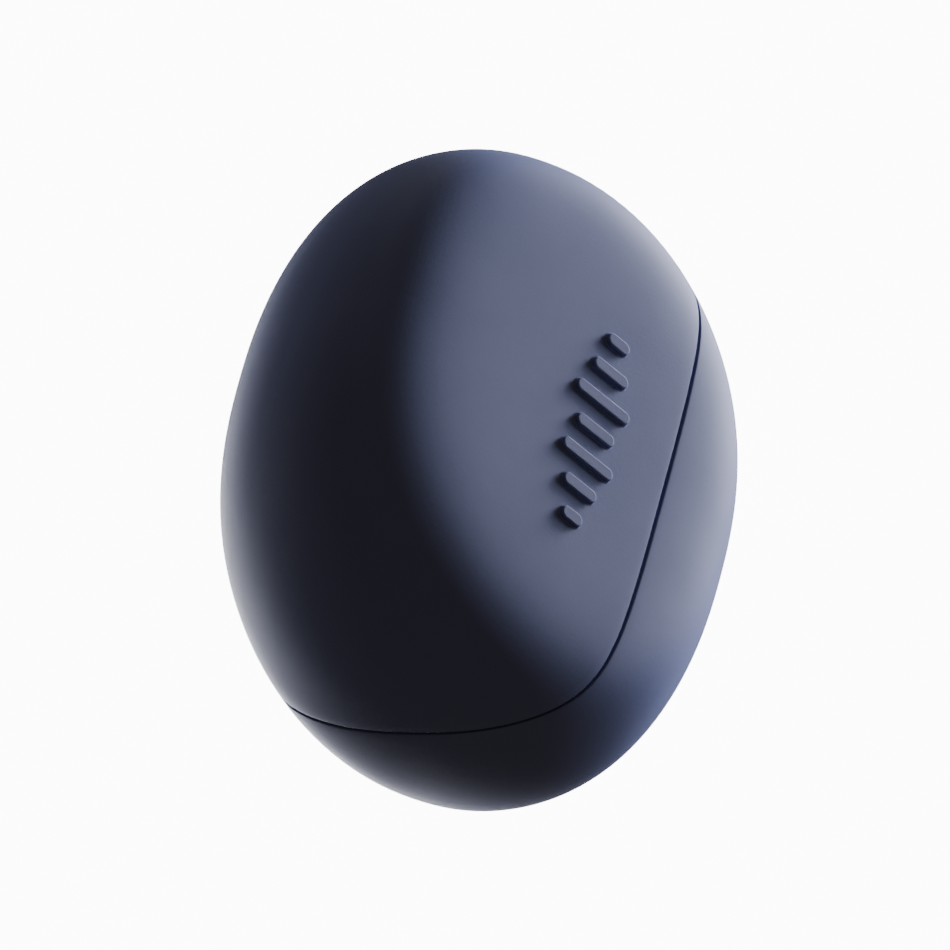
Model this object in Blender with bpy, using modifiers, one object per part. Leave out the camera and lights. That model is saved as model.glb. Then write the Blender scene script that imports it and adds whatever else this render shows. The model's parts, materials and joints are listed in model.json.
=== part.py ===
"""Charging case for a pair of wireless earbuds, as a Blender 4.5 script.

The case is a pebble with a flat front and a flat back, cut by one sloping seam into a base and
a lid. A barrel hinge lies along the seam inside the back face. The base holds a cradle with two
upright wells, sprung charging pins, the boards and the battery; the lid holds a lining, the
hinge arm and two magnets. Lengths are in metres, +X runs along the width, +Y to the back, +Z up.
The origin is on the ground, under the middle of the case.
"""

import math

import bmesh
import bpy
from mathutils import Matrix, Vector

# ---- driving dimensions ----------------------------------------------------------------------

# Pebble: a superellipsoid that leans forward about X, flattened by two parallel faces.
HALF_WIDTH = 0.0310
SHORT_RADIUS = 0.0252
LONG_RADIUS = 0.0306
HALF_THICKNESS = 0.0160
LEAN = math.radians(47.0)
WIDTH_POWER = 2.4
SIDE_POWER = 2.33
FACE_POWER = 10.0
BACK_FLAT_CUT = 0.0001
FOOT_CUT = 0.0014

# Shells and seam
WALL = 0.0018
FIT = 0.0003
SEAM_SLOPE = math.radians(30.0)
SEAM_OFFSET = -0.0010
SEAM_GAP = 0.00035

# Raised motif on the front of the lid: a row of upright bars
BAR_COUNT = 7
BAR_PITCH = 0.0036
BAR_WIDTH = 0.0015
BAR_RELIEF = 0.0005
BAR_HEIGHTS = (0.0028, 0.0046, 0.0070, 0.0052, 0.0074, 0.0048, 0.0030)

# Hinge
KNUCKLE_RADIUS = 0.0016
PIN_RADIUS = 0.0006
PIN_LENGTH = 0.0210
PIN_CLEARANCE = 0.00006
ARM_WIDTH = 0.0120
ARM_PLATE = 0.0010
ARM_HEIGHT = 0.0100
ARM_CRANK = 0.0024
ARM_STEP = 0.00024
HINGE_GAP = 0.0003
LID_OPENING = math.radians(95.0)
SADDLE_WALL = 0.0011

# Cradle and wells
DECK_DROP = 0.0004
DECK_THICKNESS = 0.0014
CUP_WALL = 0.0010
BETWEEN_WELLS = 0.0084
WELL_Y = -0.0003
WELL_RADII = (0.0084, 0.0090, 0.0065)
WELL_FLOOR = -0.0115
NOZZLE_INWARD = 0.0025
NOZZLE_BACK = 0.0028
NOZZLE_RADIUS = 0.0045
NOZZLE_FLOOR = -0.0152
CONTACT_HOLE_HEIGHT = 0.0080

# Lid lining
LINING_GAP = 0.0004
LINING_RIM = 0.0014
LINING_WALL = 0.0012

# Charging contacts
CONTACT_SPACING = 0.0028
CONTACT_OUTWARD = 0.0020
CONTACT_FORWARD = 0.0032
CONTACT_RADIUS = 0.00045
CONTACT_PROUD = 0.0011
CONTACT_TRAVEL = 0.0007
CONTACT_LENGTH = 0.0034
CONTACT_CLEARANCE = 0.00008
BLOCK_SIZE = (0.0062, 0.0028)
BLOCK_TOP = -0.0102
CONTACT_BORE_MOUTH = 0.0010

# Button and light on the deck
BUTTON_RADIUS = 0.0025
BUTTON_FLANGE = 0.0031
BUTTON_FLANGE_THICKNESS = 0.0005
BUTTON_TRAVEL = 0.0003
BUTTON_ALONG = 0.0032
LIGHT_RADIUS = 0.0007
LIGHT_ALONG = -0.0030
SWITCH_SIZE = (0.0035, 0.0035, 0.0013)
DECK_BOARD_MARGIN = 0.0007
DECK_BOARD_LENGTH = 0.0192
DECK_BOARD_THICKNESS = 0.0006
DECK_SCREW_EDGE = 0.0004
LED_SIZE = (0.0016, 0.0010, 0.0006)
FLEX_WIDTH = 0.0034
FLEX_THICKNESS = 0.0002
FLEX_BOW = 0.0012
FLEX_FOOT = 0.0005
BUMPER_X = 0.0150
BUMPER_EDGE = 0.0010
BUMPER_RADIUS = 0.0010

# Boards, battery and port
BOARD_SIZE = (0.0300, 0.0200, 0.0008)
BOARD_Y = 0.0022
BOARD_CLEARANCE = 0.0008
BOARD_CORNER = 0.0030
PORT_SIZE = (0.0089, 0.0073, 0.0032)
PORT_WALL = 0.0003
PORT_RECESS = 0.0005
TONGUE_SIZE = (0.0066, 0.0045, 0.0007)
PORT_MARGIN = 0.0003
PORT_ROUNDING = 0.42
BATTERY_SIZE = (0.0260, 0.0120, 0.0050)
BATTERY_Y = 0.0046
BATTERY_HEADROOM = 0.0012
PAD_SIZE = (0.0140, 0.0070)
LEAD_RADIUS = 0.0004
LEAD_SLACK = 0.0018
LEAD_TOP = 0.0007
LEAD_X = 0.0053
SOCKET_SIZE = (0.0050, 0.0024, 0.0014)
SOCKET_EDGE = 0.0005
CONTROLLER_SIZE = (0.0040, 0.0040, 0.0008)
INDUCTOR_SIZE = (0.0030, 0.0030, 0.0012)

# Magnets
LATCH_MAGNET = (0.0040, 0.0024, 0.0018)
LATCH_MAGNET_X = 0.0046
LATCH_MAGNET_GAP = 0.0005
LINING_MAGNET_GAP = 0.0006
BUD_MAGNET_RADIUS = 0.0020
BUD_MAGNET_HEIGHT = 0.0012
BUD_MAGNET_OUT = 0.0052
BUD_MAGNET_BACK = 0.0030
BUD_MAGNET_GAP = 0.0002

# Screws
SCREW_RADIUS = 0.0006
SCREW_HEAD_RADIUS = 0.0011
SCREW_HEAD_HEIGHT = 0.0006
SCREW_HOLE_CLEARANCE = 0.00015
ARM_SCREW_LENGTH = 0.0024
DECK_SCREW_LENGTH = 0.0026
BOSS_RADIUS = 0.0015
BOSS_LENGTH = 0.0021
BOSS_ROOF = 0.0004
REST_GAP = 0.0001

# Small rounded edges
PLATED_EDGE = 0.0002
PIN_TIP = 0.00018
INDUCTOR_EDGE = 0.0003
TONGUE_EDGE = 0.00015
POUCH_EDGE = 0.0008

# Mesh fineness
SHELL_CUTS = 13
INNER_CUTS = 9
ROUND_STEPS = 20
SMALL_STEPS = 12

# ---- places that follow from the dimensions -----------------------------------------------------


def pebble_measure(direction, inset=0.0):
    """1 on the pebble's surface, growing in proportion outwards. inset shortens every radius."""
    x, y, z = direction
    along = y * math.cos(LEAN) + z * math.sin(LEAN)
    across = z * math.cos(LEAN) - y * math.sin(LEAN)
    side = abs(along / (SHORT_RADIUS - inset)) ** SIDE_POWER
    side += abs(across / (LONG_RADIUS - inset)) ** SIDE_POWER
    body = abs(x / (HALF_WIDTH - inset)) ** WIDTH_POWER + side ** (WIDTH_POWER / SIDE_POWER)
    face = abs(y / (HALF_THICKNESS - inset)) ** FACE_POWER
    return (body ** (FACE_POWER / WIDTH_POWER) + face) ** (1.0 / FACE_POWER)


def lowest_reach():
    """How far the uncut pebble reaches below its centre."""
    angles = [math.radians(step * 0.25) for step in range(720)]
    rays = [Vector((0.0, math.cos(angle), -math.sin(angle))) for angle in angles]
    return max(-ray.z / pebble_measure(ray) for ray in rays)


FOOT_DROP = lowest_reach() - FOOT_CUT
BACK_FLAT = HALF_THICKNESS - BACK_FLAT_CUT
CENTRE = Vector((0.0, BAR_RELIEF / 2 + BACK_FLAT_CUT / 2, FOOT_DROP))
SEAM_TURN = Matrix.Rotation(SEAM_SLOPE, 4, "X")

AXIS_Y = BACK_FLAT - KNUCKLE_RADIUS
RELIEF_RADIUS = KNUCKLE_RADIUS / math.cos(LID_OPENING / 2) * 1.012
BEAD_RADIUS = RELIEF_RADIUS - HINGE_GAP

BASE_TOP = -SEAM_GAP / 2
LID_BOTTOM = SEAM_GAP / 2
DECK_TOP = BASE_TOP - DECK_DROP
DECK_UNDER = DECK_TOP - DECK_THICKNESS
LINING_UNDER = LID_BOTTOM + LINING_GAP
LINING_OUTSIDE = WALL + LATCH_MAGNET_GAP + LATCH_MAGNET[1] + LINING_MAGNET_GAP
LINING_DEPTH = LINING_OUTSIDE + LINING_WALL

SWITCH_TOP = DECK_UNDER - BUTTON_FLANGE_THICKNESS - BUTTON_TRAVEL - 2 * REST_GAP
DECK_BOARD_TOP = SWITCH_TOP - SWITCH_SIZE[2] - REST_GAP / 2

BOARD_TOP = NOZZLE_FLOOR - CUP_WALL - BOARD_CLEARANCE
BOARD_UNDER = BOARD_TOP - BOARD_SIZE[2]
BATTERY_TOP = BOARD_UNDER - BATTERY_HEADROOM
PORT_Z = BOARD_TOP + FIT / 2 + PORT_SIZE[2] / 2
WELL_SPACING = 2 * (WELL_RADII[0] + CUP_WALL) + BETWEEN_WELLS
DECK_BOARD_SIZE = (BETWEEN_WELLS - 2 * DECK_BOARD_MARGIN, DECK_BOARD_LENGTH, DECK_BOARD_THICKNESS)
BIG = 0.2


def at(x, y, z):
    """World place of a point given from the pebble's centre."""
    return CENTRE + Vector((x, y, z))


def on_seam(x, along, up):
    """World place from the seam plane: along it towards the back, and up square to it."""
    slope = SEAM_TURN.to_3x3()
    return CENTRE + slope @ Vector((x, along, SEAM_OFFSET + up))


def seam_height(y):
    """Height above the pebble's centre at which the seam plane passes over y."""
    return (SEAM_OFFSET + y * math.sin(SEAM_SLOPE)) / math.cos(SEAM_SLOPE)


def half_width_at(y, z):
    """Half the pebble's width at a height and depth given from its centre."""
    face = abs(y / HALF_THICKNESS) ** FACE_POWER
    body = (1.0 - face) ** (WIDTH_POWER / FACE_POWER)
    side = pebble_measure(Vector((0.0, y, z)))
    side = max(side ** FACE_POWER - face, 0.0) ** (WIDTH_POWER / FACE_POWER)
    return HALF_WIDTH * max(body - side, 0.0) ** (1.0 / WIDTH_POWER)


def reach_along(start, way, inset):
    """How far the inset pebble's surface is from a point inside it, in the given direction."""
    near, far = 0.0, BIG
    while far - near > 1e-7:
        middle = (near + far) / 2
        point = start + way * middle
        inside = pebble_measure(point, inset) < 1.0 and point.y < BACK_FLAT - inset
        near, far = (middle, far) if inside else (near, middle)
    return near


def back_wall_at(x, z, inset):
    """Depth at which the inset pebble ends at the back, over a point of the back face."""
    return reach_along(Vector((x, 0.0, z)), Vector((0.0, 1.0, 0.0)), inset)


def seam_front_at(x, up, inset):
    """Distance along the seam from its middle to the inset pebble's front."""
    slope = SEAM_TURN.to_3x3()
    start = slope @ Vector((x, 0.0, SEAM_OFFSET + up))
    return reach_along(start, slope @ Vector((0.0, -1.0, 0.0)), inset)


AXIS_Z = seam_height(AXIS_Y)
HINGE_AXIS = at(0.0, AXIS_Y, AXIS_Z)
BEAD_HALF = half_width_at(AXIS_Y, AXIS_Z)
SLOT_HALF = ARM_WIDTH / 2 + HINGE_GAP

# ---- scene, collections and materials -----------------------------------------------------------


def clear_scene():
    """Remove the objects of the file that the script runs in."""
    for old in list(bpy.data.objects):
        bpy.data.objects.remove(old, do_unlink=True)


def new_collection(name):
    collection = bpy.data.collections.new(name)
    bpy.context.scene.collection.children.link(collection)
    return collection


clear_scene()
PARTS = new_collection("wireless_earbuds_case")
CUTTERS = new_collection("cutters")


def finish(name, colour, roughness, metallic=0.0):
    """A plain Principled material; the colour is linear red, green and blue."""
    material = bpy.data.materials.new(name)
    material.use_nodes = True
    shader = material.node_tree.nodes["Principled BSDF"]
    shader.inputs["Base Color"].default_value = (*colour, 1.0)
    shader.inputs["Roughness"].default_value = roughness
    shader.inputs["Metallic"].default_value = metallic
    return material


SLATE = (0.085, 0.095, 0.150)
DARK_SLATE = (0.045, 0.050, 0.085)
STEEL = (0.60, 0.60, 0.62)
GOLD = (0.80, 0.56, 0.24)
NICKEL = (0.66, 0.65, 0.62)
BOARD_GREEN = (0.01, 0.09, 0.05)
BLACK = (0.012, 0.012, 0.014)
WHITE = (0.75, 0.76, 0.78)
SILVER_FOIL = (0.52, 0.53, 0.55)
FERRITE = (0.05, 0.05, 0.05)
POLYIMIDE = (0.35, 0.16, 0.02)
LEAD_RED = (0.55, 0.02, 0.02)

# ---- shape tools ------------------------------------------------------------------------------


def link(name, mesh, collection=PARTS, material=None):
    """An object for the mesh. Helpers in the cutters' collection stay out of a render."""
    made = bpy.data.objects.new(name, mesh)
    collection.objects.link(made)
    if collection is CUTTERS:
        made.hide_render = True
        made.display_type = "WIRE"
    if material is not None:
        mesh.materials.append(material)
    return made


def mesh_from(build, name):
    """Run build on a new bmesh and keep what it makes as a mesh."""
    shape = bmesh.new()
    build(shape)
    mesh = bpy.data.meshes.new(name)
    shape.to_mesh(mesh)
    shape.free()
    return mesh


def smooth(made, angle=math.radians(35.0)):
    made.data.shade_smooth()
    made.data.set_sharp_from_angle(angle=angle)
    return made


def box(name, size, place, collection=PARTS, material=None, slope=0.0, round_by=0.0, segments=2):
    """A block of the given size centred on place, turned about X, with its edges rounded."""

    def build(shape):
        bmesh.ops.create_cube(shape, size=1.0)
        bmesh.ops.scale(shape, vec=size, verts=shape.verts)

    made = link(name, mesh_from(build, name), collection, material)
    made.location = place
    made.rotation_euler = (slope, 0.0, 0.0)
    if round_by > 0.0:
        bevel = made.modifiers.new("rounded_edges", "BEVEL")
        bevel.width = round_by
        bevel.segments = segments
    return made


def cylinder(name, radius, length, place, collection=PARTS, material=None, axis="Z", slope=0.0,
             steps=ROUND_STEPS, round_by=0.0):
    """A round bar centred on place, along the named axis, then turned about X by slope."""
    turn = {"X": Matrix.Rotation(math.pi / 2, 4, "Y"), "Y": Matrix.Rotation(math.pi / 2, 4, "X")}

    def build(shape):
        bmesh.ops.create_cone(shape, cap_ends=True, segments=steps, radius1=radius,
                              radius2=radius, depth=length)
        if axis in turn:
            bmesh.ops.transform(shape, matrix=turn[axis], verts=shape.verts)

    made = link(name, mesh_from(build, name), collection, material)
    made.location = place
    made.rotation_euler = (slope, 0.0, 0.0)
    if round_by > 0.0:
        bevel = made.modifiers.new("rounded_edges", "BEVEL")
        bevel.width = round_by
        bevel.segments = 2
        bevel.angle_limit = math.radians(60.0)
    return smooth(made) if collection is PARTS else made


def pebble(name, inset=0.0, cuts=INNER_CUTS, collection=CUTTERS, material=None):
    """The case's outer form with every radius shortened by inset, foot and back flat included."""

    def build(shape):
        bmesh.ops.create_cube(shape, size=2.0)
        bmesh.ops.subdivide_edges(shape, edges=shape.edges, cuts=cuts, use_grid_fill=True)
        for vertex in shape.verts:
            even = [math.tan(value * math.pi / 4) for value in vertex.co]
            ray = Vector(even).normalized()
            point = ray / pebble_measure(ray, inset)
            point.y = min(point.y, BACK_FLAT - inset)
            point.z = max(point.z, inset - FOOT_DROP)
            vertex.co = point

    made = link(name, mesh_from(build, name), collection, material)
    made.location = CENTRE
    return smooth(made, math.radians(30.0))


def cup(name, radii, x, y, floor, collection=CUTTERS):
    """An upright cup: an ellipsoid's lower half under straight sides that run far up."""
    centre_z = floor + radii[2]

    def build(shape):
        bmesh.ops.create_uvsphere(shape, u_segments=ROUND_STEPS, v_segments=10, radius=1.0)
        bmesh.ops.scale(shape, vec=radii, verts=shape.verts)
        for vertex in shape.verts:
            if vertex.co.z > radii[2] * 0.01:
                vertex.co.z += HALF_WIDTH * 2
        bmesh.ops.recalc_face_normals(shape, faces=shape.faces)

    made = link(name, mesh_from(build, name), collection)
    made.location = at(x, y, centre_z)
    return made


def combine(target, other, operation, solver):
    """Add a Boolean to target: UNION, DIFFERENCE or INTERSECT with other."""
    boolean = target.modifiers.new(operation.lower() + "_" + other.name, "BOOLEAN")
    boolean.operation = operation
    boolean.object = other
    boolean.solver = solver
    return target


def cut(target, *others, solver="EXACT"):
    for other in others:
        combine(target, other, "DIFFERENCE", solver)
    return target


def join(target, *others, solver="EXACT"):
    for other in others:
        combine(target, other, "UNION", solver)
    return target


def carve(target, *others):
    """Cut a thin moulding of many curved faces, on which the EXACT solver leaves open edges."""
    return cut(target, *others, solver="MANIFOLD")


def seam_block(name, bottom, top):
    """A wide cutter between two planes parallel to the seam."""
    middle = (bottom + top) / 2
    size = (BIG, BIG, top - bottom)
    return box(name, size, on_seam(0.0, 0.0, middle), CUTTERS, slope=SEAM_SLOPE)


def above(name, up):
    return seam_block(name, up, up + BIG)


def below(name, up):
    return seam_block(name, up - BIG, up)


def hinge_cylinder(name, radius, half_length, collection=CUTTERS):
    return cylinder(name, radius, half_length * 2, HINGE_AXIS, collection, axis="X")


def ride_on(pivot, *pieces):
    """Parent pieces and what cuts them to an empty on their joint, leaving them where they are."""
    for piece in pieces:
        piece.parent = pivot
        piece.matrix_parent_inverse = Matrix.Translation(pivot.location).inverted()
        ride_on(pivot, *[step.object for step in piece.modifiers if step.type == "BOOLEAN"])


def pivot_at(name, place):
    pivot = bpy.data.objects.new(name, None)
    pivot.empty_display_size = 0.004
    pivot.location = place
    PARTS.objects.link(pivot)
    return pivot


def screw(name, length, seat, material, slope):
    """A pan-head screw turned from its profile, standing on seat and turned about X by slope."""
    profile = [
        (0.0, SCREW_HEAD_HEIGHT),
        (SCREW_HEAD_RADIUS * 0.75, SCREW_HEAD_HEIGHT),
        (SCREW_HEAD_RADIUS, SCREW_HEAD_HEIGHT * 0.6),
        (SCREW_HEAD_RADIUS, 0.0),
        (SCREW_RADIUS, 0.0),
        (SCREW_RADIUS, -length + SCREW_RADIUS),
        (0.0, -length),
    ]

    def build(shape):
        points = [shape.verts.new((radius, 0.0, height)) for radius, height in profile]
        for start, end in zip(points, points[1:]):
            shape.edges.new((start, end))

    made = link(name, mesh_from(build, name), PARTS, material)
    turned = made.modifiers.new("turned", "SCREW")
    turned.steps = SMALL_STEPS
    turned.render_steps = SMALL_STEPS
    turned.use_merge_vertices = True
    turned.merge_threshold = 0.00001
    made.location = seat
    made.rotation_euler = (slope, 0.0, 0.0)
    return made


# ---- shells -------------------------------------------------------------------------------------


def motif_bars():
    """The row of upright bars on the front face, half sunk into the lid's wall."""
    bars = []
    first = -(BAR_COUNT - 1) / 2 * BAR_PITCH
    for index, height in enumerate(BAR_HEIGHTS):
        depth = BAR_RELIEF * 2
        place = at(first + index * BAR_PITCH, -HALF_THICKNESS, 0.0)
        size = (BAR_WIDTH, depth, height)
        bar = box(f"motif_bar_{index + 1}", size, place, CUTTERS)
        round_edges_along_y(bar, BAR_WIDTH * 0.49)
        bars.append(bar)
    return bars


def round_edges_along_y(block, radius):
    """Round the four edges of a block that run front to back."""
    shape = bmesh.new()
    shape.from_mesh(block.data)
    edges = [edge for edge in shape.edges
             if abs(edge.verts[0].co.x - edge.verts[1].co.x) < 1e-6
             and abs(edge.verts[0].co.z - edge.verts[1].co.z) < 1e-6]
    bmesh.ops.bevel(shape, geom=edges, offset=radius, segments=4, profile=0.5, affect="EDGES")
    shape.to_mesh(block.data)
    shape.free()


def make_base_shell():
    base = pebble("base_shell", 0.0, SHELL_CUTS, PARTS,
                  finish("slate_soft_touch_base", SLATE, 0.55))
    # Everything to take away: all above the seam and the hollow, less the hinge bead and saddle.
    removal = above("base_removal", BASE_TOP)
    hollow = pebble("base_hollow", WALL)
    saddle = hinge_cylinder("saddle_keep", RELIEF_RADIUS + SADDLE_WALL, SLOT_HALF + SADDLE_WALL)
    cut(hollow, saddle)
    join(removal, hollow)
    cut(removal, hinge_cylinder("bead_keep", BEAD_RADIUS, BEAD_HALF))
    cut(base, removal)
    cut(base, hinge_cylinder("arm_slot", RELIEF_RADIUS, SLOT_HALF))
    cut(base, hinge_cylinder("pin_bore_base", PIN_RADIUS + PIN_CLEARANCE, PIN_LENGTH / 2 + FIT))
    slot_size = (PORT_SIZE[0] + PORT_MARGIN * 2, WALL * 4, PORT_SIZE[2] + PORT_MARGIN * 2)
    slot = box("port_slot", slot_size, at(0.0, BACK_FLAT - WALL / 2, PORT_Z), CUTTERS)
    round_edges_along_y(slot, slot_size[2] * PORT_ROUNDING)
    cut(base, slot)
    return base


def make_lid_shell():
    lid = pebble("lid_shell", 0.0, SHELL_CUTS, PARTS,
                 finish("slate_soft_touch_lid", SLATE, 0.55))
    join(lid, *motif_bars())
    removal = below("lid_removal", LID_BOTTOM)
    join(removal, pebble("lid_hollow", WALL))
    join(removal, hinge_cylinder("lid_relief", RELIEF_RADIUS, BEAD_HALF + HINGE_GAP))
    cut(lid, removal)
    return lid


# ---- hinge --------------------------------------------------------------------------------------


def make_hinge():
    """Steel pin, and the lid's arm: a middle knuckle with a cranked plate behind the lining."""
    cylinder("hinge_pin", PIN_RADIUS, PIN_LENGTH, HINGE_AXIS, PARTS,
             finish("hinge_steel", STEEL, 0.30, 1.0), axis="X", steps=SMALL_STEPS)
    arm = cylinder("hinge_arm", KNUCKLE_RADIUS - PIN_CLEARANCE, ARM_WIDTH, HINGE_AXIS, PARTS,
                   finish("hinge_arm_zinc", DARK_SLATE, 0.40, 0.6), axis="X")
    crank_top = ARM_CRANK + ARM_PLATE
    web = box("arm_web", (ARM_WIDTH - ARM_STEP, ARM_PLATE, crank_top),
              at(0.0, arm_web_y(), AXIS_Z + crank_top / 2), CUTTERS)
    crank = arm_web_y() - arm_plate_y()
    shelf = box("arm_shelf", (ARM_WIDTH - 2 * ARM_STEP, ARM_PLATE * 0.9 + crank, ARM_PLATE),
                at(0.0, arm_plate_y() + crank / 2, AXIS_Z + crank_top - ARM_PLATE / 2), CUTTERS)
    plate = box("arm_plate", (ARM_WIDTH - 3 * ARM_STEP, ARM_PLATE, ARM_HEIGHT - ARM_CRANK),
                at(0.0, arm_plate_y(), AXIS_Z + (ARM_CRANK + ARM_HEIGHT) / 2), CUTTERS)
    join(arm, web, shelf, plate)
    hole = SCREW_RADIUS + SCREW_HOLE_CLEARANCE
    for side in (-1, 1):
        place = at(side * arm_screw_x(), arm_plate_y(), arm_screw_z())
        cut(arm, cylinder(f"arm_hole_{side}", hole, ARM_PLATE * 4, place, CUTTERS, axis="Y",
                          steps=SMALL_STEPS))
    cut(arm, hinge_cylinder("pin_bore_arm", PIN_RADIUS + PIN_CLEARANCE, ARM_WIDTH))
    return smooth(arm)


def arm_web_y():
    """Depth of the web that rises from the knuckle, just inside the back wall."""
    top = AXIS_Z + ARM_CRANK + ARM_PLATE
    return back_wall_at(ARM_WIDTH / 2, top, WALL) - HINGE_GAP - ARM_PLATE / 2


def arm_plate_y():
    """Depth of the arm's plate: its top corners and its screw heads clear the lid's wall."""
    corner = back_wall_at(ARM_WIDTH / 2, AXIS_Z + ARM_HEIGHT, WALL)
    head = back_wall_at(arm_screw_x() + SCREW_HEAD_RADIUS, arm_screw_z() + SCREW_HEAD_RADIUS, WALL)
    return min(corner, head - SCREW_HEAD_HEIGHT) - HINGE_GAP - ARM_PLATE / 2


def arm_room_front():
    """Depth of the room behind the lining, where its bosses end at the arm's plate."""
    return arm_plate_y() - ARM_PLATE / 2 - FIT / 2


def arm_screw_x():
    return ARM_WIDTH * 0.3


def arm_screw_z():
    return AXIS_Z + ARM_HEIGHT * 0.7


def make_arm_screws():
    """Two screws that hold the arm to the bosses on the lining."""
    steel = finish("arm_screw_steel", STEEL, 0.35, 1.0)
    seat = arm_plate_y() + ARM_PLATE / 2 + REST_GAP / 2
    places = {"left": -arm_screw_x(), "right": arm_screw_x()}
    return [screw(f"hinge_screw_{name}", ARM_SCREW_LENGTH, at(x, seat, arm_screw_z()), steel,
                  -math.pi / 2)
            for name, x in places.items()]


# ---- cradle -------------------------------------------------------------------------------------


def well_x(side):
    return side * WELL_SPACING / 2


def nozzle_x(side):
    return side * (WELL_SPACING / 2 - NOZZLE_INWARD)


def well_cups(grow, tag):
    """The four cup shapes of the two wells, grown outwards by grow."""
    radii = [radius + grow for radius in WELL_RADII]
    nozzle = [NOZZLE_RADIUS + grow] * 3
    cups = []
    for side, name in ((-1, "left"), (1, "right")):
        cups.append(cup(f"{name}_well_{tag}", radii, well_x(side), WELL_Y, WELL_FLOOR - grow))
        cups.append(cup(f"{name}_nozzle_{tag}", nozzle, nozzle_x(side), WELL_Y + NOZZLE_BACK,
                        NOZZLE_FLOOR - grow))
    return cups


def contact_place(side, z):
    """Middle of a well's pair of contacts, at a height given from the pebble's centre."""
    return at(well_x(side) + side * CONTACT_OUTWARD, WELL_Y - CONTACT_FORWARD, z)


def deck_hole(name, radius, along):
    middle = (DECK_TOP + DECK_UNDER) / 2
    return cylinder(name, radius, DECK_THICKNESS * 3, on_seam(0.0, along, middle), CUTTERS,
                    slope=SEAM_SLOPE)


def make_cradle():
    """A thin deck just under the seam, with the wells hanging from it as cups."""
    cradle = pebble("cradle", WALL + FIT, INNER_CUTS, PARTS, finish("cradle_abs", DARK_SLATE, 0.45))
    under = below("cradle_under", DECK_UNDER)
    carve(under, *well_cups(CUP_WALL, "outer"))
    for end in (-1, 1):
        along = end * deck_screw_along()
        carve(under, cylinder(f"deck_boss_{end}", BOSS_RADIUS, BOSS_LENGTH * 2,
                              on_seam(0.0, along, DECK_UNDER), CUTTERS, slope=SEAM_SLOPE,
                              steps=SMALL_STEPS))
    carve(cradle, above("cradle_above", DECK_TOP), under, *well_cups(0.0, "inner"))
    carve(cradle, hinge_cylinder("cradle_bead_room", BEAD_RADIUS + FIT, BEAD_HALF + FIT))
    carve(cradle, hinge_cylinder("cradle_saddle_room", RELIEF_RADIUS + SADDLE_WALL + FIT,
                                 SLOT_HALF + SADDLE_WALL + FIT))
    carve(cradle, deck_hole("button_hole", BUTTON_RADIUS + FIT, BUTTON_ALONG))
    carve(cradle, deck_hole("light_hole", LIGHT_RADIUS + FIT / 2, LIGHT_ALONG))
    for side, name in ((-1, "left"), (1, "right")):
        size = (BLOCK_SIZE[0] + FIT, BLOCK_SIZE[1] + FIT, CONTACT_HOLE_HEIGHT)
        carve(cradle, box(f"{name}_contact_hole", size, contact_place(side, WELL_FLOOR - CUP_WALL),
                          CUTTERS))
    for end in (-1, 1):
        place = on_seam(0.0, end * deck_screw_along(), DECK_UNDER - BOSS_LENGTH)
        carve(cradle, cylinder(f"deck_boss_bore_{end}", SCREW_RADIUS + SCREW_HOLE_CLEARANCE,
                               (BOSS_LENGTH - BOSS_ROOF) * 2, place, CUTTERS, slope=SEAM_SLOPE,
                               steps=SMALL_STEPS))
    return cradle


def make_bumpers():
    """Two soft stops on the deck that the lining comes down on."""
    rubber = finish("bumper_tpe", BLACK, 0.80)
    height = DECK_DROP + SEAM_GAP + LINING_GAP - REST_GAP - FIT
    edge = seam_front_at(BUMPER_X, DECK_TOP, WALL + FIT)
    along = BUMPER_EDGE + BUMPER_RADIUS - edge
    bumpers = []
    for side, name in ((-1, "left"), (1, "right")):
        place = on_seam(side * BUMPER_X, along, DECK_TOP + REST_GAP + height / 2)
        bumpers.append(cylinder(f"deck_bumper_{name}", BUMPER_RADIUS, height, place, PARTS, rubber,
                                slope=SEAM_SLOPE, steps=SMALL_STEPS))
    return bumpers


# ---- button, light and deck board ---------------------------------------------------------------


def deck_screw_along():
    return DECK_BOARD_LENGTH / 2 - SCREW_HEAD_RADIUS - DECK_SCREW_EDGE


def make_button():
    """A round cap flush with the deck, kept in by a flange under it."""
    length = DECK_THICKNESS + REST_GAP
    cap = cylinder("pairing_button", BUTTON_RADIUS, length + BUTTON_FLANGE_THICKNESS,
                   on_seam(0.0, BUTTON_ALONG, DECK_TOP - (length + BUTTON_FLANGE_THICKNESS) / 2),
                   PARTS, finish("button_abs", SLATE, 0.40), slope=SEAM_SLOPE)
    flange_middle = DECK_TOP - length - BUTTON_FLANGE_THICKNESS / 2
    flange = cylinder("button_flange", BUTTON_FLANGE, BUTTON_FLANGE_THICKNESS,
                      on_seam(0.0, BUTTON_ALONG, flange_middle), CUTTERS, slope=SEAM_SLOPE)
    return join(cap, flange)


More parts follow.
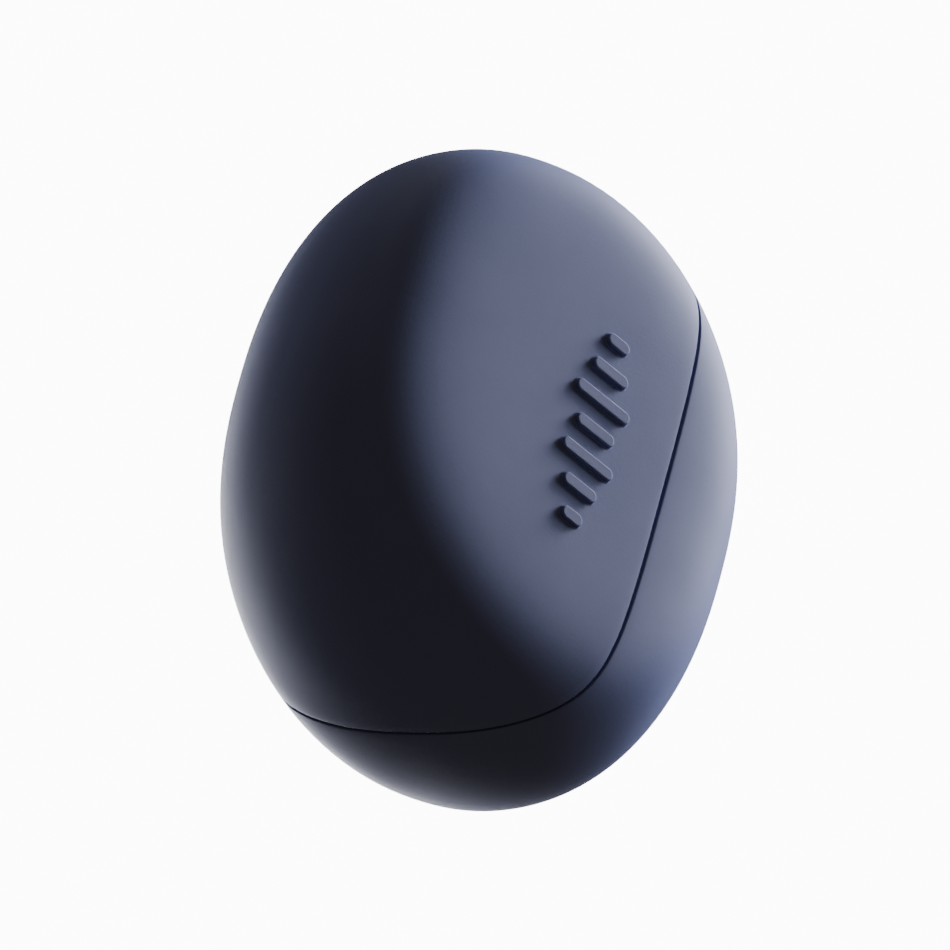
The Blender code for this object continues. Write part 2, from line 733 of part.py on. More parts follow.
def make_deck_board():
    """The small board under the deck, with its switch, light, light pipe and screws."""
    middle = DECK_BOARD_TOP - DECK_BOARD_SIZE[2] / 2
    board = box("deck_board", DECK_BOARD_SIZE, on_seam(0.0, 0.0, middle), PARTS,
                finish("deck_board_fr4", BOARD_GREEN, 0.45), slope=SEAM_SLOPE)
    box("tact_switch", SWITCH_SIZE, on_seam(0.0, BUTTON_ALONG, SWITCH_TOP - SWITCH_SIZE[2] / 2),
        PARTS, finish("tact_switch_metal", NICKEL, 0.35, 1.0), slope=SEAM_SLOPE, round_by=PLATED_EDGE)
    led_middle = DECK_BOARD_TOP + REST_GAP / 2 + LED_SIZE[2] / 2
    box("status_led", LED_SIZE, on_seam(0.0, LIGHT_ALONG, led_middle), PARTS,
        finish("status_led_epoxy", WHITE, 0.25), slope=SEAM_SLOPE)
    pipe_under = led_middle + LED_SIZE[2] / 2 + 2 * REST_GAP
    cylinder("light_pipe", LIGHT_RADIUS, DECK_TOP - pipe_under,
             on_seam(0.0, LIGHT_ALONG, (DECK_TOP + pipe_under) / 2), PARTS,
             finish("light_pipe_acrylic", WHITE, 0.15), slope=SEAM_SLOPE, steps=SMALL_STEPS)
    steel = finish("deck_screw_steel", STEEL, 0.35, 1.0)
    seat = DECK_BOARD_TOP - DECK_BOARD_SIZE[2] - REST_GAP / 2
    for end, name in ((-1, "front"), (1, "rear")):
        along = end * deck_screw_along()
        hole = cylinder(f"deck_board_hole_{name}", SCREW_RADIUS + SCREW_HOLE_CLEARANCE,
                        DECK_BOARD_SIZE[2] * 4, on_seam(0.0, along, middle), CUTTERS,
                        slope=SEAM_SLOPE, steps=SMALL_STEPS)
        cut(board, hole)
        screw(f"deck_screw_{name}", DECK_SCREW_LENGTH, on_seam(0.0, along, seat), steel,
              SEAM_SLOPE + math.pi)
    return board


# ---- charging contacts --------------------------------------------------------------------------


def make_contacts():
    """A moulded block in each well's floor, with two sprung pins that go down in it."""
    pins = []
    pivots = []
    for side, name in ((-1, "left"), (1, "right")):
        bottom = BOARD_TOP + FIT / 2
        size = (*BLOCK_SIZE, BLOCK_TOP - bottom)
        block = box(f"contact_block_{name}", size,
                    contact_place(side, (BLOCK_TOP + bottom) / 2), PARTS,
                    finish(f"contact_block_{name}_pbt", BLACK, 0.55))
        for end, label in ((-1, "inner"), (1, "outer")):
            offset = Vector((side * end * CONTACT_SPACING / 2, 0.0, 0.0))
            top = BLOCK_TOP + CONTACT_PROUD
            pin_place = contact_place(side, top - CONTACT_LENGTH / 2) + offset
            pin = cylinder(f"contact_pin_{name}_{label}", CONTACT_RADIUS, CONTACT_LENGTH, pin_place,
                           PARTS, finish(f"contact_pin_{name}_{label}_gold", GOLD, 0.25, 1.0),
                           steps=SMALL_STEPS, round_by=PIN_TIP)
            pins.append(pin)
            bore_bottom = top - CONTACT_LENGTH - CONTACT_TRAVEL - FIT
            bore_top = BLOCK_TOP + CONTACT_BORE_MOUTH
            bore_place = contact_place(side, (bore_bottom + bore_top) / 2) + offset
            cut(block, cylinder(f"contact_bore_{name}_{label}",
                                CONTACT_RADIUS + CONTACT_CLEARANCE, bore_top - bore_bottom,
                                bore_place, CUTTERS, steps=SMALL_STEPS))
    return pins


# ---- main board, port and battery ---------------------------------------------------------------


def board_part(name, size, x, y, material, side=1, round_by=0.0):
    """A component on the main board: side is 1 on its top and -1 under it."""
    surface = BOARD_TOP + FIT / 2 if side > 0 else BOARD_UNDER - FIT / 2
    return box(name, size, at(x, y, surface + side * size[2] / 2), PARTS, material,
               round_by=round_by)


def make_board():
    board = box("main_board", BOARD_SIZE, at(0.0, BOARD_Y, BOARD_TOP - BOARD_SIZE[2] / 2), PARTS,
                finish("main_board_fr4", BOARD_GREEN, 0.45))
    shape = bmesh.new()
    shape.from_mesh(board.data)
    corners = [edge for edge in shape.edges
               if abs(edge.verts[0].co.z - edge.verts[1].co.z) > BOARD_SIZE[2] / 2]
    bmesh.ops.bevel(shape, geom=corners, offset=BOARD_CORNER, segments=4, profile=0.5, affect="EDGES")
    shape.to_mesh(board.data)
    shape.free()
    board_part("charge_controller", CONTROLLER_SIZE, 0.0, BOARD_Y - CONTROLLER_SIZE[1] * 1.6,
               finish("charge_controller_epoxy", BLACK, 0.50))
    board_part("power_inductor", INDUCTOR_SIZE, 0.0, BOARD_Y - INDUCTOR_SIZE[1] * 0.4,
               finish("power_inductor_ferrite", FERRITE, 0.60), round_by=INDUCTOR_EDGE)
    board_part("battery_socket", SOCKET_SIZE, LEAD_X, socket_y(),
               finish("battery_socket_nylon", WHITE, 0.50))
    return board


def socket_y():
    """Depth of the battery socket, just behind the main board's front edge."""
    return BOARD_Y - BOARD_SIZE[1] / 2 + SOCKET_SIZE[1] / 2 + SOCKET_EDGE


def make_port():
    """USB-C receptacle: a drawn steel tube on the board behind a slot, and its tongue."""
    mouth = BACK_FLAT - PORT_RECESS
    middle = at(0.0, mouth - PORT_SIZE[1] / 2, PORT_Z)
    tube = box("usb_socket", PORT_SIZE, middle, PARTS, finish("usb_socket_steel", NICKEL, 0.30, 1.0))
    round_edges_along_y(tube, PORT_SIZE[2] * PORT_ROUNDING)
    bore_size = (PORT_SIZE[0] - 2 * PORT_WALL, PORT_SIZE[1], PORT_SIZE[2] - 2 * PORT_WALL)
    bore = box("usb_bore", bore_size, middle + Vector((0.0, PORT_WALL * 3, 0.0)), CUTTERS)
    round_edges_along_y(bore, bore_size[2] * PORT_ROUNDING)
    cut(tube, bore)
    root = mouth - PORT_SIZE[1] + PORT_WALL * 3
    place = at(0.0, root + FIT / 2 + TONGUE_SIZE[1] / 2, PORT_Z)
    box("usb_tongue", TONGUE_SIZE, place, PARTS, finish("usb_tongue_lcp", BLACK, 0.45),
        round_by=TONGUE_EDGE)
    return smooth(tube)


def make_battery():
    """Pouch cell under the board, on a foam pad, with two leads up to its socket."""
    battery_z = BATTERY_TOP - BATTERY_SIZE[2] / 2
    cell = box("battery_cell", BATTERY_SIZE, at(0.0, BATTERY_Y, battery_z), PARTS,
               finish("battery_pouch_foil", SILVER_FOIL, 0.35, 0.5), round_by=POUCH_EDGE)
    pad_top = BATTERY_TOP - BATTERY_SIZE[2] - FIT / 2
    pad_under = WALL + FIT - FOOT_DROP
    box("battery_pad", (*PAD_SIZE, pad_top - pad_under), at(0.0, BATTERY_Y,
        (pad_top + pad_under) / 2), PARTS, finish("battery_pad_foam", BLACK, 0.90))
    colours = {"positive": LEAD_RED, "negative": BLACK}
    for index, (name, colour) in enumerate(colours.items()):
        make_lead(f"battery_lead_{name}", LEAD_X + (index - 0.5) * LEAD_RADIUS * 3.2,
                  finish(f"battery_lead_{name}_pvc", colour, 0.45))
    return cell


def make_lead(name, x, material):
    """A short wire from the front of the cell, up past the board's front edge to the socket."""
    cell_front = BATTERY_Y - BATTERY_SIZE[1] / 2 - FIT
    board_front = BOARD_Y - BOARD_SIZE[1] / 2
    low = BATTERY_TOP - BATTERY_SIZE[2] * 0.3
    high = BOARD_TOP + FIT / 2 + LEAD_TOP
    shoulder = board_front - LEAD_SLACK * 0.55
    route = [
        Vector((x, cell_front, low)),
        Vector((x, shoulder, low + LEAD_RADIUS * 2)),
        Vector((x, board_front - LEAD_SLACK, (low + high) / 2)),
        Vector((x, shoulder, high)),
        Vector((x, socket_y() - SOCKET_SIZE[1] / 2 - FIT, high)),
    ]
    points = smooth_route(route, 4)
    curve = bpy.data.curves.new(name, "CURVE")
    curve.dimensions = "3D"
    curve.bevel_depth = LEAD_RADIUS
    curve.bevel_resolution = 2
    curve.use_fill_caps = True
    spline = curve.splines.new("POLY")
    spline.points.add(len(points) - 1)
    for target, point in zip(spline.points, points):
        target.co = (*point, 1.0)
    curve.materials.append(material)
    made = bpy.data.objects.new(name, curve)
    made.location = CENTRE
    PARTS.objects.link(made)
    return made


def smooth_route(route, steps):
    """Points along a Catmull-Rom curve through the route."""
    padded = [route[0] * 2 - route[1], *route, route[-1] * 2 - route[-2]]
    points = []
    for a, b, c, d in zip(padded, padded[1:], padded[2:], padded[3:]):
        for step in range(steps):
            t = step / steps
            points.append(0.5 * (2 * b + (c - a) * t + (2 * a - 5 * b + 4 * c - d) * t ** 2
                                 + (3 * b - a - 3 * c + d) * t ** 3))
    points.append(route[-1])
    return points


def make_flex_cable():
    """The flat cable from the deck board's front end down to the main board."""
    middle_up = DECK_BOARD_TOP - DECK_BOARD_THICKNESS / 2
    top = on_seam(0.0, -DECK_BOARD_LENGTH / 2 - FIT, middle_up) - CENTRE
    foot = Vector((0.0, BOARD_Y - BOARD_SIZE[1] / 2 + FLEX_FOOT, BOARD_TOP + FIT))
    route = [top, top + Vector((0.0, -FLEX_BOW, -FLEX_BOW * 1.7)),
             (top + foot) / 2 - Vector((0.0, FLEX_BOW, 0.0)),
             foot + Vector((0.0, -FLEX_BOW / 2, FLEX_BOW * 1.3)), foot]
    points = smooth_route(route, 4)

    def build(shape):
        half = FLEX_WIDTH / 2
        rows = [[shape.verts.new(point + Vector((x, 0.0, 0.0))) for x in (-half, half)]
                for point in points]
        for first, second in zip(rows, rows[1:]):
            shape.faces.new((first[0], first[1], second[1], second[0]))

    made = link("flex_cable", mesh_from(build, "flex_cable"), PARTS,
                finish("flex_cable_polyimide", POLYIMIDE, 0.40))
    made.location = CENTRE
    sheet = made.modifiers.new("thickness", "SOLIDIFY")
    sheet.thickness = FLEX_THICKNESS
    sheet.offset = 0.0
    return made


# ---- lid lining and magnets ---------------------------------------------------------------------


def make_lining():
    """The lid's lining: a rim plate inside the shell and a thin dome that clears the earbuds."""
    lining = pebble("lid_lining", WALL + FIT, INNER_CUTS, PARTS,
                    finish("lid_lining_abs", DARK_SLATE, 0.45))
    carve(lining, below("lining_below", LINING_UNDER))
    spare = above("lining_spare", LINING_UNDER + LINING_RIM)
    carve(spare, pebble("lining_dome", LINING_OUTSIDE))
    back = arm_room_front() + FIT
    front = back_wall_at(arm_screw_x() + BOSS_RADIUS, arm_screw_z() + BOSS_RADIUS, LINING_DEPTH)
    for side in (-1, 1):
        place = at(side * arm_screw_x(), (back + front) / 2, arm_screw_z())
        carve(spare, cylinder(f"arm_boss_{side}", BOSS_RADIUS, back - front, place, CUTTERS,
                              axis="Y", steps=SMALL_STEPS))
    carve(lining, spare, pebble("lining_hollow", LINING_DEPTH))
    room_low = AXIS_Z - RELIEF_RADIUS - FIT
    room_high = AXIS_Z + ARM_HEIGHT + FIT
    room_depth = BACK_FLAT - arm_room_front()
    carve(lining, box("arm_room", (ARM_WIDTH + 2 * FIT, room_depth, room_high - room_low),
                      at(0.0, BACK_FLAT - room_depth / 2, (room_low + room_high) / 2), CUTTERS))
    carve(lining, hinge_cylinder("lining_relief", RELIEF_RADIUS + FIT, BEAD_HALF + 2 * FIT))
    bore_half = ARM_SCREW_LENGTH + FIT
    for side in (-1, 1):
        place = at(side * arm_screw_x(), arm_plate_y() + ARM_PLATE / 2, arm_screw_z())
        carve(lining, cylinder(f"arm_boss_bore_{side}", SCREW_RADIUS + SCREW_HOLE_CLEARANCE,
                               bore_half * 2, place, CUTTERS, axis="Y", steps=SMALL_STEPS))
    return lining


def latch_magnet_along():
    """Place of the latch magnets along the seam, just behind the front walls."""
    edge = LATCH_MAGNET_X + LATCH_MAGNET[0] / 2
    lid = seam_front_at(edge, LINING_UNDER + LINING_RIM + LATCH_MAGNET[2], WALL)
    base = seam_front_at(edge, DECK_UNDER - LATCH_MAGNET[2], WALL)
    return LATCH_MAGNET_GAP + LATCH_MAGNET[1] / 2 - min(lid, base)


def make_magnets():
    """Latch magnets that face each other across the seam, and one under each well."""
    nickel = finish("magnet_nickel", NICKEL, 0.25, 1.0)
    along = latch_magnet_along()
    lid_pieces = []
    for side, name in ((-1, "left"), (1, "right")):
        x = side * LATCH_MAGNET_X
        half = LATCH_MAGNET[2] / 2
        box(f"base_magnet_{name}", LATCH_MAGNET,
            on_seam(x, along, DECK_UNDER - REST_GAP - half), PARTS, nickel,
            slope=SEAM_SLOPE, round_by=PLATED_EDGE)
        place = on_seam(x, along, LINING_UNDER + LINING_RIM + REST_GAP + half)
        lid_pieces.append(box(f"lid_magnet_{name}", LATCH_MAGNET, place, PARTS, nickel,
                              slope=SEAM_SLOPE, round_by=PLATED_EDGE))
        magnet_top = WELL_FLOOR - CUP_WALL - BUD_MAGNET_GAP
        cylinder(f"bud_magnet_{name}", BUD_MAGNET_RADIUS, BUD_MAGNET_HEIGHT,
                 at(well_x(side) + side * BUD_MAGNET_OUT, WELL_Y + BUD_MAGNET_BACK,
                    magnet_top - BUD_MAGNET_HEIGHT / 2), PARTS, nickel)
    return lid_pieces


# ---- assembly -----------------------------------------------------------------------------------


def main():
    make_base_shell()
    lid = make_lid_shell()
    arm = make_hinge()
    arm_screws = make_arm_screws()
    make_cradle()
    make_bumpers()
    make_button()
    make_deck_board()
    make_contacts()
    make_board()
    make_port()
    make_battery()
    make_flex_cable()
    lining = make_lining()
    lid_magnets = make_magnets()
    hinge = pivot_at("lid_hinge_axis", HINGE_AXIS)
    ride_on(hinge, lid, arm, lining, *arm_screws, *lid_magnets)


main()
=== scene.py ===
"""Looks of a wireless earbuds case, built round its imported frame.

Every piece is placed from the frame's boxes and joints. The two shells, the lid's lining and the
cradle are lofted from the rule of the pebble form, and what repeats comes from Geometry Nodes.
Lengths are in metres; +X runs along the width, +Y to the back and +Z up.
"""

import json
import logging
import math
from collections.abc import Callable, Sequence
from dataclasses import dataclass, field
from enum import Enum

import bmesh
import bpy
import numpy as np
from mathutils import Matrix, Vector


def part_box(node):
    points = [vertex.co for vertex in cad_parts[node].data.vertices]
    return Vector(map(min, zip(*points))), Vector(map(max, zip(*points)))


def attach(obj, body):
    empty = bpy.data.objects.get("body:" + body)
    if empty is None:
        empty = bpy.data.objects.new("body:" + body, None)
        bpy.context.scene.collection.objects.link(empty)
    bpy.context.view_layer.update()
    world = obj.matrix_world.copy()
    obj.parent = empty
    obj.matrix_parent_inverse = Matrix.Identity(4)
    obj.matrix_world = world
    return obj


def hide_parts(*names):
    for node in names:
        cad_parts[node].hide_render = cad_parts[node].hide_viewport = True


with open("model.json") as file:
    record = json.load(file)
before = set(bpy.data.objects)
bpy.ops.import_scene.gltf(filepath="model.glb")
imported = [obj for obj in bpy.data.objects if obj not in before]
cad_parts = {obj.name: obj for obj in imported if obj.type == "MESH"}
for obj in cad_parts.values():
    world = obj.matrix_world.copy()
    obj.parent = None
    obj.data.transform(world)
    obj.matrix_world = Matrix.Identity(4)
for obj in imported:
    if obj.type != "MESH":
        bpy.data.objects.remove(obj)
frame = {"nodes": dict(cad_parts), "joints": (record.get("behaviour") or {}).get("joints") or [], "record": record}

LOG = logging.getLogger("earbuds_case")
MM = 0.001
QUARTER = math.pi / 2.0
HALVINGS = 32
WELD = 0.0005 * MM
TURNED_CORNER = math.radians(38.0)
BLOCK_CORNER = math.radians(50.0)
Array = np.ndarray


class Body(Enum):
    """The frame's bodies that new pieces ride on."""

    BASE = "base"
    LID = "lid"
    BUTTON = "button"


# ---- the rule of the form -----------------------------------------------------------------------


@dataclass
class Pebble:
    """The case's outer form: a superellipsoid that leans about X, flattened front and back.

    Places in the seam's frame are (x, along the seam towards the back, up from the seam).
    """

    half_width: float = 31.0 * MM
    short_radius: float = 25.2 * MM
    long_radius: float = 30.6 * MM
    half_thickness: float = 16.0 * MM
    lean: float = math.radians(47.0)
    width_power: float = 2.4
    side_power: float = 2.33
    face_power: float = 10.0
    back_cut: float = 0.1 * MM
    foot_cut: float = 1.4 * MM
    seam_slope: float = math.radians(30.0)
    seam_offset: float = -1.0 * MM
    seam_gap: float = 0.35 * MM
    wall: float = 1.8 * MM
    fit: float = 0.3 * MM
    centre: Array = field(init=False)
    drop: float = field(init=False)
    back_flat: float = field(init=False)
    slope: Array = field(init=False)

    def __post_init__(self) -> None:
        """Work out the centre from the frame's box of the base."""
        low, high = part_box("base_shell")
        steps = np.radians(np.arange(0.0, 180.0, 0.25))
        rays = np.stack([np.zeros_like(steps), np.cos(steps), -np.sin(steps)], -1)
        self.drop = float((-rays[:, 2] / self.gauge(rays)).max()) - self.foot_cut
        self.back_flat = self.half_thickness - self.back_cut
        self.centre = np.array([0.0, high.y - self.back_flat, low.z + self.drop])
        c, s = math.cos(self.seam_slope), math.sin(self.seam_slope)
        self.slope = np.array([[1.0, 0.0, 0.0], [0.0, c, -s], [0.0, s, c]])

    def gauge(self, points: Array, inset: float = 0.0) -> Array:
        """1 on the form's surface and growing in proportion outwards.

        Args:
            points: places given from the form's centre, in the row's directions.
            inset: how much every radius is shortened.

        Returns:
            One number for each point.
        """
        x, y, z = np.moveaxis(np.asarray(points, float), -1, 0)
        c, s = math.cos(self.lean), math.sin(self.lean)
        side = np.abs((y * c + z * s) / (self.short_radius - inset)) ** self.side_power
        side += np.abs((z * c - y * s) / (self.long_radius - inset)) ** self.side_power
        body = np.abs(x / (self.half_width - inset)) ** self.width_power
        body += side ** (self.width_power / self.side_power)
        face = np.abs(y / (self.half_thickness - inset)) ** self.face_power
        return (body ** (self.face_power / self.width_power) + face) ** (1.0 / self.face_power)

    def from_centre(self, local: Array) -> Array:
        """Places in the row's directions from the centre, of points in the seam's frame."""
        return (local + np.array([0.0, 0.0, self.seam_offset])) @ self.slope.T

    def to_row(self, local: Array) -> Array:
        """Row places of points in the seam's frame."""
        return self.centre + self.from_centre(np.asarray(local, float))

    def to_seam(self, row: Array) -> Array:
        """Places in the seam's frame of row points."""
        turned = (np.asarray(row, float) - self.centre) @ self.slope
        return turned - np.array([0.0, 0.0, self.seam_offset])

    def reach(
        self, start: Array, ways: Array, inset: float, keep: Callable[[Array], Array] | None = None
    ) -> Array:
        """Distance from start to the edge of the form along each direction.

        Args:
            start: points in the seam's frame, inside the form.
            ways: directions in the seam's frame.
            inset: how much every radius is shortened.
            keep: a further test that says which seam-frame points are still inside.

        Returns:
            One distance for each direction.
        """
        shape = np.broadcast_shapes(start.shape, ways.shape)[:-1]
        near, far = np.zeros(shape), np.full(shape, 2.0 * self.half_width)
        for _ in range(HALVINGS):
            middle = (near + far) / 2.0
            local = start + ways * middle[..., None]
            place = self.from_centre(local)
            inside = self.gauge(place, inset) < 1.0
            inside &= place[..., 1] < self.back_flat - inset
            inside &= place[..., 2] > inset - self.drop
            if keep is not None:
                inside &= keep(local)
            near = np.where(inside, middle, near)
            far = np.where(inside, far, middle)
        return near


@dataclass
class HingeLine:
    """The hinge's barrel along the seam: its axis in the seam's frame, and its radii."""

    pebble: Pebble
    knuckle: float = 1.6 * MM
    gap: float = 0.3 * MM
    arm_width: float = 12.0 * MM
    opening: float = math.radians(95.0)
    step_softness: float = 0.16 * MM
    corner_room: float = 1.012
    axis: Array = field(init=False)
    relief: float = field(init=False)
    bead: float = field(init=False)
    bead_half: float = field(init=False)
    slot_half: float = field(init=False)

    def __post_init__(self) -> None:
        """Take the axis from the frame's hinge joint."""
        joint = next(entry for entry in frame["joints"] if entry["name"] == "lid_hinge")
        self.axis = self.pebble.to_seam(np.array(joint["pos_m"], float))
        self.relief = self.knuckle / math.cos(self.opening / 2.0) * self.corner_room
        self.bead = self.relief - self.gap
        start = np.array([[0.0, self.axis[1], self.axis[2]]])
        self.bead_half = float(self.pebble.reach(start, np.array([[1.0, 0.0, 0.0]]), 0.0)[0])
        self.slot_half = self.arm_width / 2.0 + self.gap

    def within(self, x: Array, half: float) -> Array:
        """1 where |x| is under half and 0 beyond it, with a soft step between."""
        share = np.clip((half - np.abs(x)) / self.step_softness / 2.0 + 0.5, 0.0, 1.0)
        return share * share * (3.0 - 2.0 * share)

    def arc(self, along: Array, radius: float) -> Array:
        """Height over the axis of a barrel of the given radius, 0 outside it."""
        return np.sqrt(np.maximum(radius**2 - (along - self.axis[1]) ** 2, 0.0))

    def lid_rim(self, x: Array, along: Array) -> Array:
        """The lid's rim: flat along the seam, scooped out over the barrel.

        Args:
            x: places across the row.
            along: places along the seam.

        Returns:
            The rim's height over the seam at each place.
        """
        low = self.pebble.seam_gap / 2.0
        scoop = np.maximum(self.arc(along, self.relief) - low, 0.0)
        return low + scoop * self.within(x, self.bead_half + self.gap)

    def base_rim(self, x: Array, along: Array) -> Array:
        """The base's rim: flat, with a round bead along the hinge and a slot for the arm.

        Args:
            x: places across the row.
            along: places along the seam.

        Returns:
            The rim's height over the seam at each place.
        """
        low = -self.pebble.seam_gap / 2.0
        in_slot = self.within(x, self.slot_half)
        bead = np.maximum(self.arc(along, self.bead) - low, 0.0) * (along > 0.0)
        bead *= self.within(x, self.bead_half) * (1.0 - in_slot)
        slot = np.maximum(self.arc(along, self.relief) + low, 0.0) * in_slot
        return low + np.where(self.arc(along, self.bead) > 0.0, bead, 0.0) - slot

    def clear_of_barrel(self, radius: float, half: float) -> Callable[[Array], Array]:
        """A test for points outside a barrel about the hinge axis."""

        def keep(local: Array) -> Array:
            """Whether each seam-frame point is outside the barrel."""
            away = np.hypot(local[..., 1] - self.axis[1], local[..., 2] - self.axis[2])
            return (away > radius) | (np.abs(local[..., 0]) > half)

        return keep


# ---- mesh tools ---------------------------------------------------------------------------------


def link(name: str, mesh: bpy.types.Mesh) -> bpy.types.Object:
    """Show a mesh whose place is in its vertices.

    Args:
        name: the object's name.
        mesh: its mesh.

    Returns:
        The new object, at the origin.
    """
    made = bpy.data.objects.new(name, mesh)
    bpy.context.scene.collection.objects.link(made)
    return made


def solid(name: str, shape: bmesh.types.BMesh, sharp: float | None = None) -> bpy.types.Object:
    """Close a bmesh's seams and poles, turn its faces outwards and keep it as an object.

    Args:
        name: the object's name.
        shape: the mesh, which is freed.
        sharp: the angle past which edges stay sharp; all are smooth if left out.

    Returns:
        The new object.
    """
    bmesh.ops.remove_doubles(shape, verts=shape.verts, dist=WELD)
    bmesh.ops.recalc_face_normals(shape, faces=shape.faces)
    mesh = bpy.data.meshes.new(name)
    shape.to_mesh(mesh)
    shape.free()
    mesh.shade_smooth()
    if sharp is not None:
        mesh.set_sharp_from_angle(angle=sharp)
    return link(name, mesh)


def add_rings(shape: bmesh.types.BMesh, rings: Array) -> list[list[bmesh.types.BMVert]]:
    """Join closed rings of points, each to the next, with quads.

    Args:
        shape: the bmesh to add to.
        rings: points by ring and by place round the ring.

    Returns:
        The vertices of each ring.
    """
    rows = [[shape.verts.new(tuple(point)) for point in ring] for ring in rings]
    count = len(rows[0])
    for first, second in zip(rows, rows[1:]):
        for index in range(count):
            after = (index + 1) % count
            shape.faces.new((first[index], first[after], second[after], second[index]))
    return rows


def bend(before: Array, corner: Array, after: Array, cut: float, steps: int) -> Array:
    """Points round a corner, cut back by the same length on both sides.

    Args:
        before: a point on the way to each corner.
        corner: the corners.
        after: a point on the way from each corner.
        cut: how far back the bend starts.
        steps: how many points it takes.

    Returns:
        The bend's points, with one more axis than the corners.
    """
    start = before - corner
    start = corner + start / np.linalg.norm(start, axis=-1, keepdims=True) * cut
    end = after - corner
    end = corner + end / np.linalg.norm(end, axis=-1, keepdims=True) * cut
    t = np.linspace(0.0, 1.0, steps)[:, None]
    weights = [(1.0 - t) ** 2, 2.0 * t * (1.0 - t), t**2]
    return sum(
        weight * part[..., None, :] for weight, part in zip(weights, (start, corner, end))
    )


def turned(
    name: str, profile: Sequence[tuple[float, float]], place: Array, up: Array, steps: int = 48
) -> bpy.types.Object:
    """A turned piece: a profile of (radius, height) spun about an axis.

    Args:
        name: the object's name.
        profile: radius and height in metres, from the foot's centre to the top's centre.
        place: the row place of height 0 on the axis.
        up: the axis' direction.
        steps: how many faces go round.

    Returns:
        The new object.
    """
    angles = np.arange(steps) / steps * 2.0 * math.pi
    spin = Vector((0.0, 0.0, 1.0)).rotation_difference(Vector(up)).to_matrix()
    rings = [
        np.stack([radius * np.cos(angles), radius * np.sin(angles), np.full(steps, height)], -1)
        for radius, height in profile
    ]
    rings = np.array(rings) @ np.array(spin).T + np.asarray(place, float)
    shape = bmesh.new()
    add_rings(shape, rings)
    return solid(name, shape, TURNED_CORNER)


def arc_points(
    centre: tuple[float, float], radius: float, start: float, end: float, steps: int
) -> list[tuple[float, float]]:
    """Points of a profile along an arc, its angles given in degrees."""
    turns = [math.radians(start + (end - start) * step / steps) for step in range(steps + 1)]
    return [(centre[0] + radius * math.cos(a), centre[1] + radius * math.sin(a)) for a in turns]


def rounded_block(
    name: str, low: Vector, high: Vector, radius: float, segments: int = 4
) -> bpy.types.Object:
    """A block with all its edges rounded.

    Args:
        name: the object's name.
        low: the block's lowest corner.
        high: its highest corner.
        radius: the edges' radius.
        segments: how many faces go round an edge.

    Returns:
        The new object.
    """
    shape = bmesh.new()
    bmesh.ops.create_cube(shape, size=1.0)
    size, middle = high - low, (high + low) / 2.0
    for vertex in shape.verts:
        vertex.co = Vector(c * s for c, s in zip(vertex.co, size)) + middle
    bmesh.ops.bevel(
        shape, geom=shape.edges[:], offset=radius, segments=segments, profile=0.5, affect="EDGES"
    )
    return solid(name, shape, BLOCK_CORNER)


def lozenge(width: float, height: float, radius: float, steps: int) -> Array:
    """A rounded rectangle about the origin.

    Args:
        width: its whole width.
        height: its whole height.
        radius: its corners' radius.
        steps: how many steps go round a corner.

    Returns:
        Points (x, z) round it.
    """
    points = []
    corners = ((1, 1, 0.0), (-1, 1, 90.0), (-1, -1, 180.0), (1, -1, 270.0))
    for side_x, side_z, start in corners:
        centre = (side_x * (width / 2.0 - radius), side_z * (height / 2.0 - radius))
        points += arc_points(centre, radius, start, start + 90.0, steps)
    return np.array(points)


def dome(radius: float, foot: float, height: float, steps: int) -> list[tuple[float, float]]:
    """Points of a profile over a dome, from its edge to its top."""
    turns = [QUARTER * step / steps for step in range(steps + 1)]
    return [(radius * math.cos(turn), foot + height * math.sin(turn)) for turn in turns]


def loft(
    name: str, outlines: Sequence[tuple[float, Array]], middle: Vector, sharp: float | None = None
) -> bpy.types.Object:
    """A closed piece lofted through upright outlines.

    Args:
        name: the object's name.
        outlines: each outline's depth in the row and its points (x, z) about the middle.
        middle: where the outlines are centred.
        sharp: the angle past which edges stay sharp.

    Returns:
        The new object.
    """
    rings = [
        np.stack(
            [points[:, 0] + middle.x, np.full(len(points), depth), points[:, 1] + middle.z], -1
        )
        for depth, points in outlines
    ]
    shape = bmesh.new()
    rows = add_rings(shape, np.array(rings))
    shape.faces.new(rows[0])
    shape.faces.new(rows[-1])
    return solid(name, shape, sharp)


def carve(
    target: bpy.types.Object, cutter: bpy.types.Object, operation: str = "DIFFERENCE"
) -> None:
    """Cut one piece out of another for good, or join them, and remove the second.

    Args:
        target: the piece that is kept.
        cutter: the piece that is cut out or joined.
        operation: "DIFFERENCE" to cut or "UNION" to join.
    """
    step = target.modifiers.new("carve", "BOOLEAN")
    step.operation = operation
    step.solver = "MANIFOLD"
    step.object = cutter
    settle(target)
    bpy.data.objects.remove(cutter, do_unlink=True)


def settle(target: bpy.types.Object) -> bpy.types.Object:
    """Turn an object's modifiers into its plain mesh.

    Args:
        target: the object.

    Returns:
        The same object, without modifiers.
    """
    graph = bpy.context.evaluated_depsgraph_get()
    mesh = bpy.data.meshes.new_from_object(target.evaluated_get(graph))
    mesh.name = target.name
    target.modifiers.clear()
    target.data = mesh
    return target


# ---- node tools and finishes --------------------------------------------------------------------


def linear(code: str) -> tuple[float, float, float, float]:
    """Turn an sRGB colour linear.

    Args:
        code: the colour as a hex code, such as "6E7593".

    Returns:
        Linear red, green, blue and alpha.
    """
    parts = [int(code[index:index + 2], 16) / 255.0 for index in (0, 2, 4)]
    curve = [p / 12.92 if p <= 0.04045 else ((p + 0.055) / 1.055) ** 2.4 for p in parts]
    return (curve[0], curve[1], curve[2], 1.0)


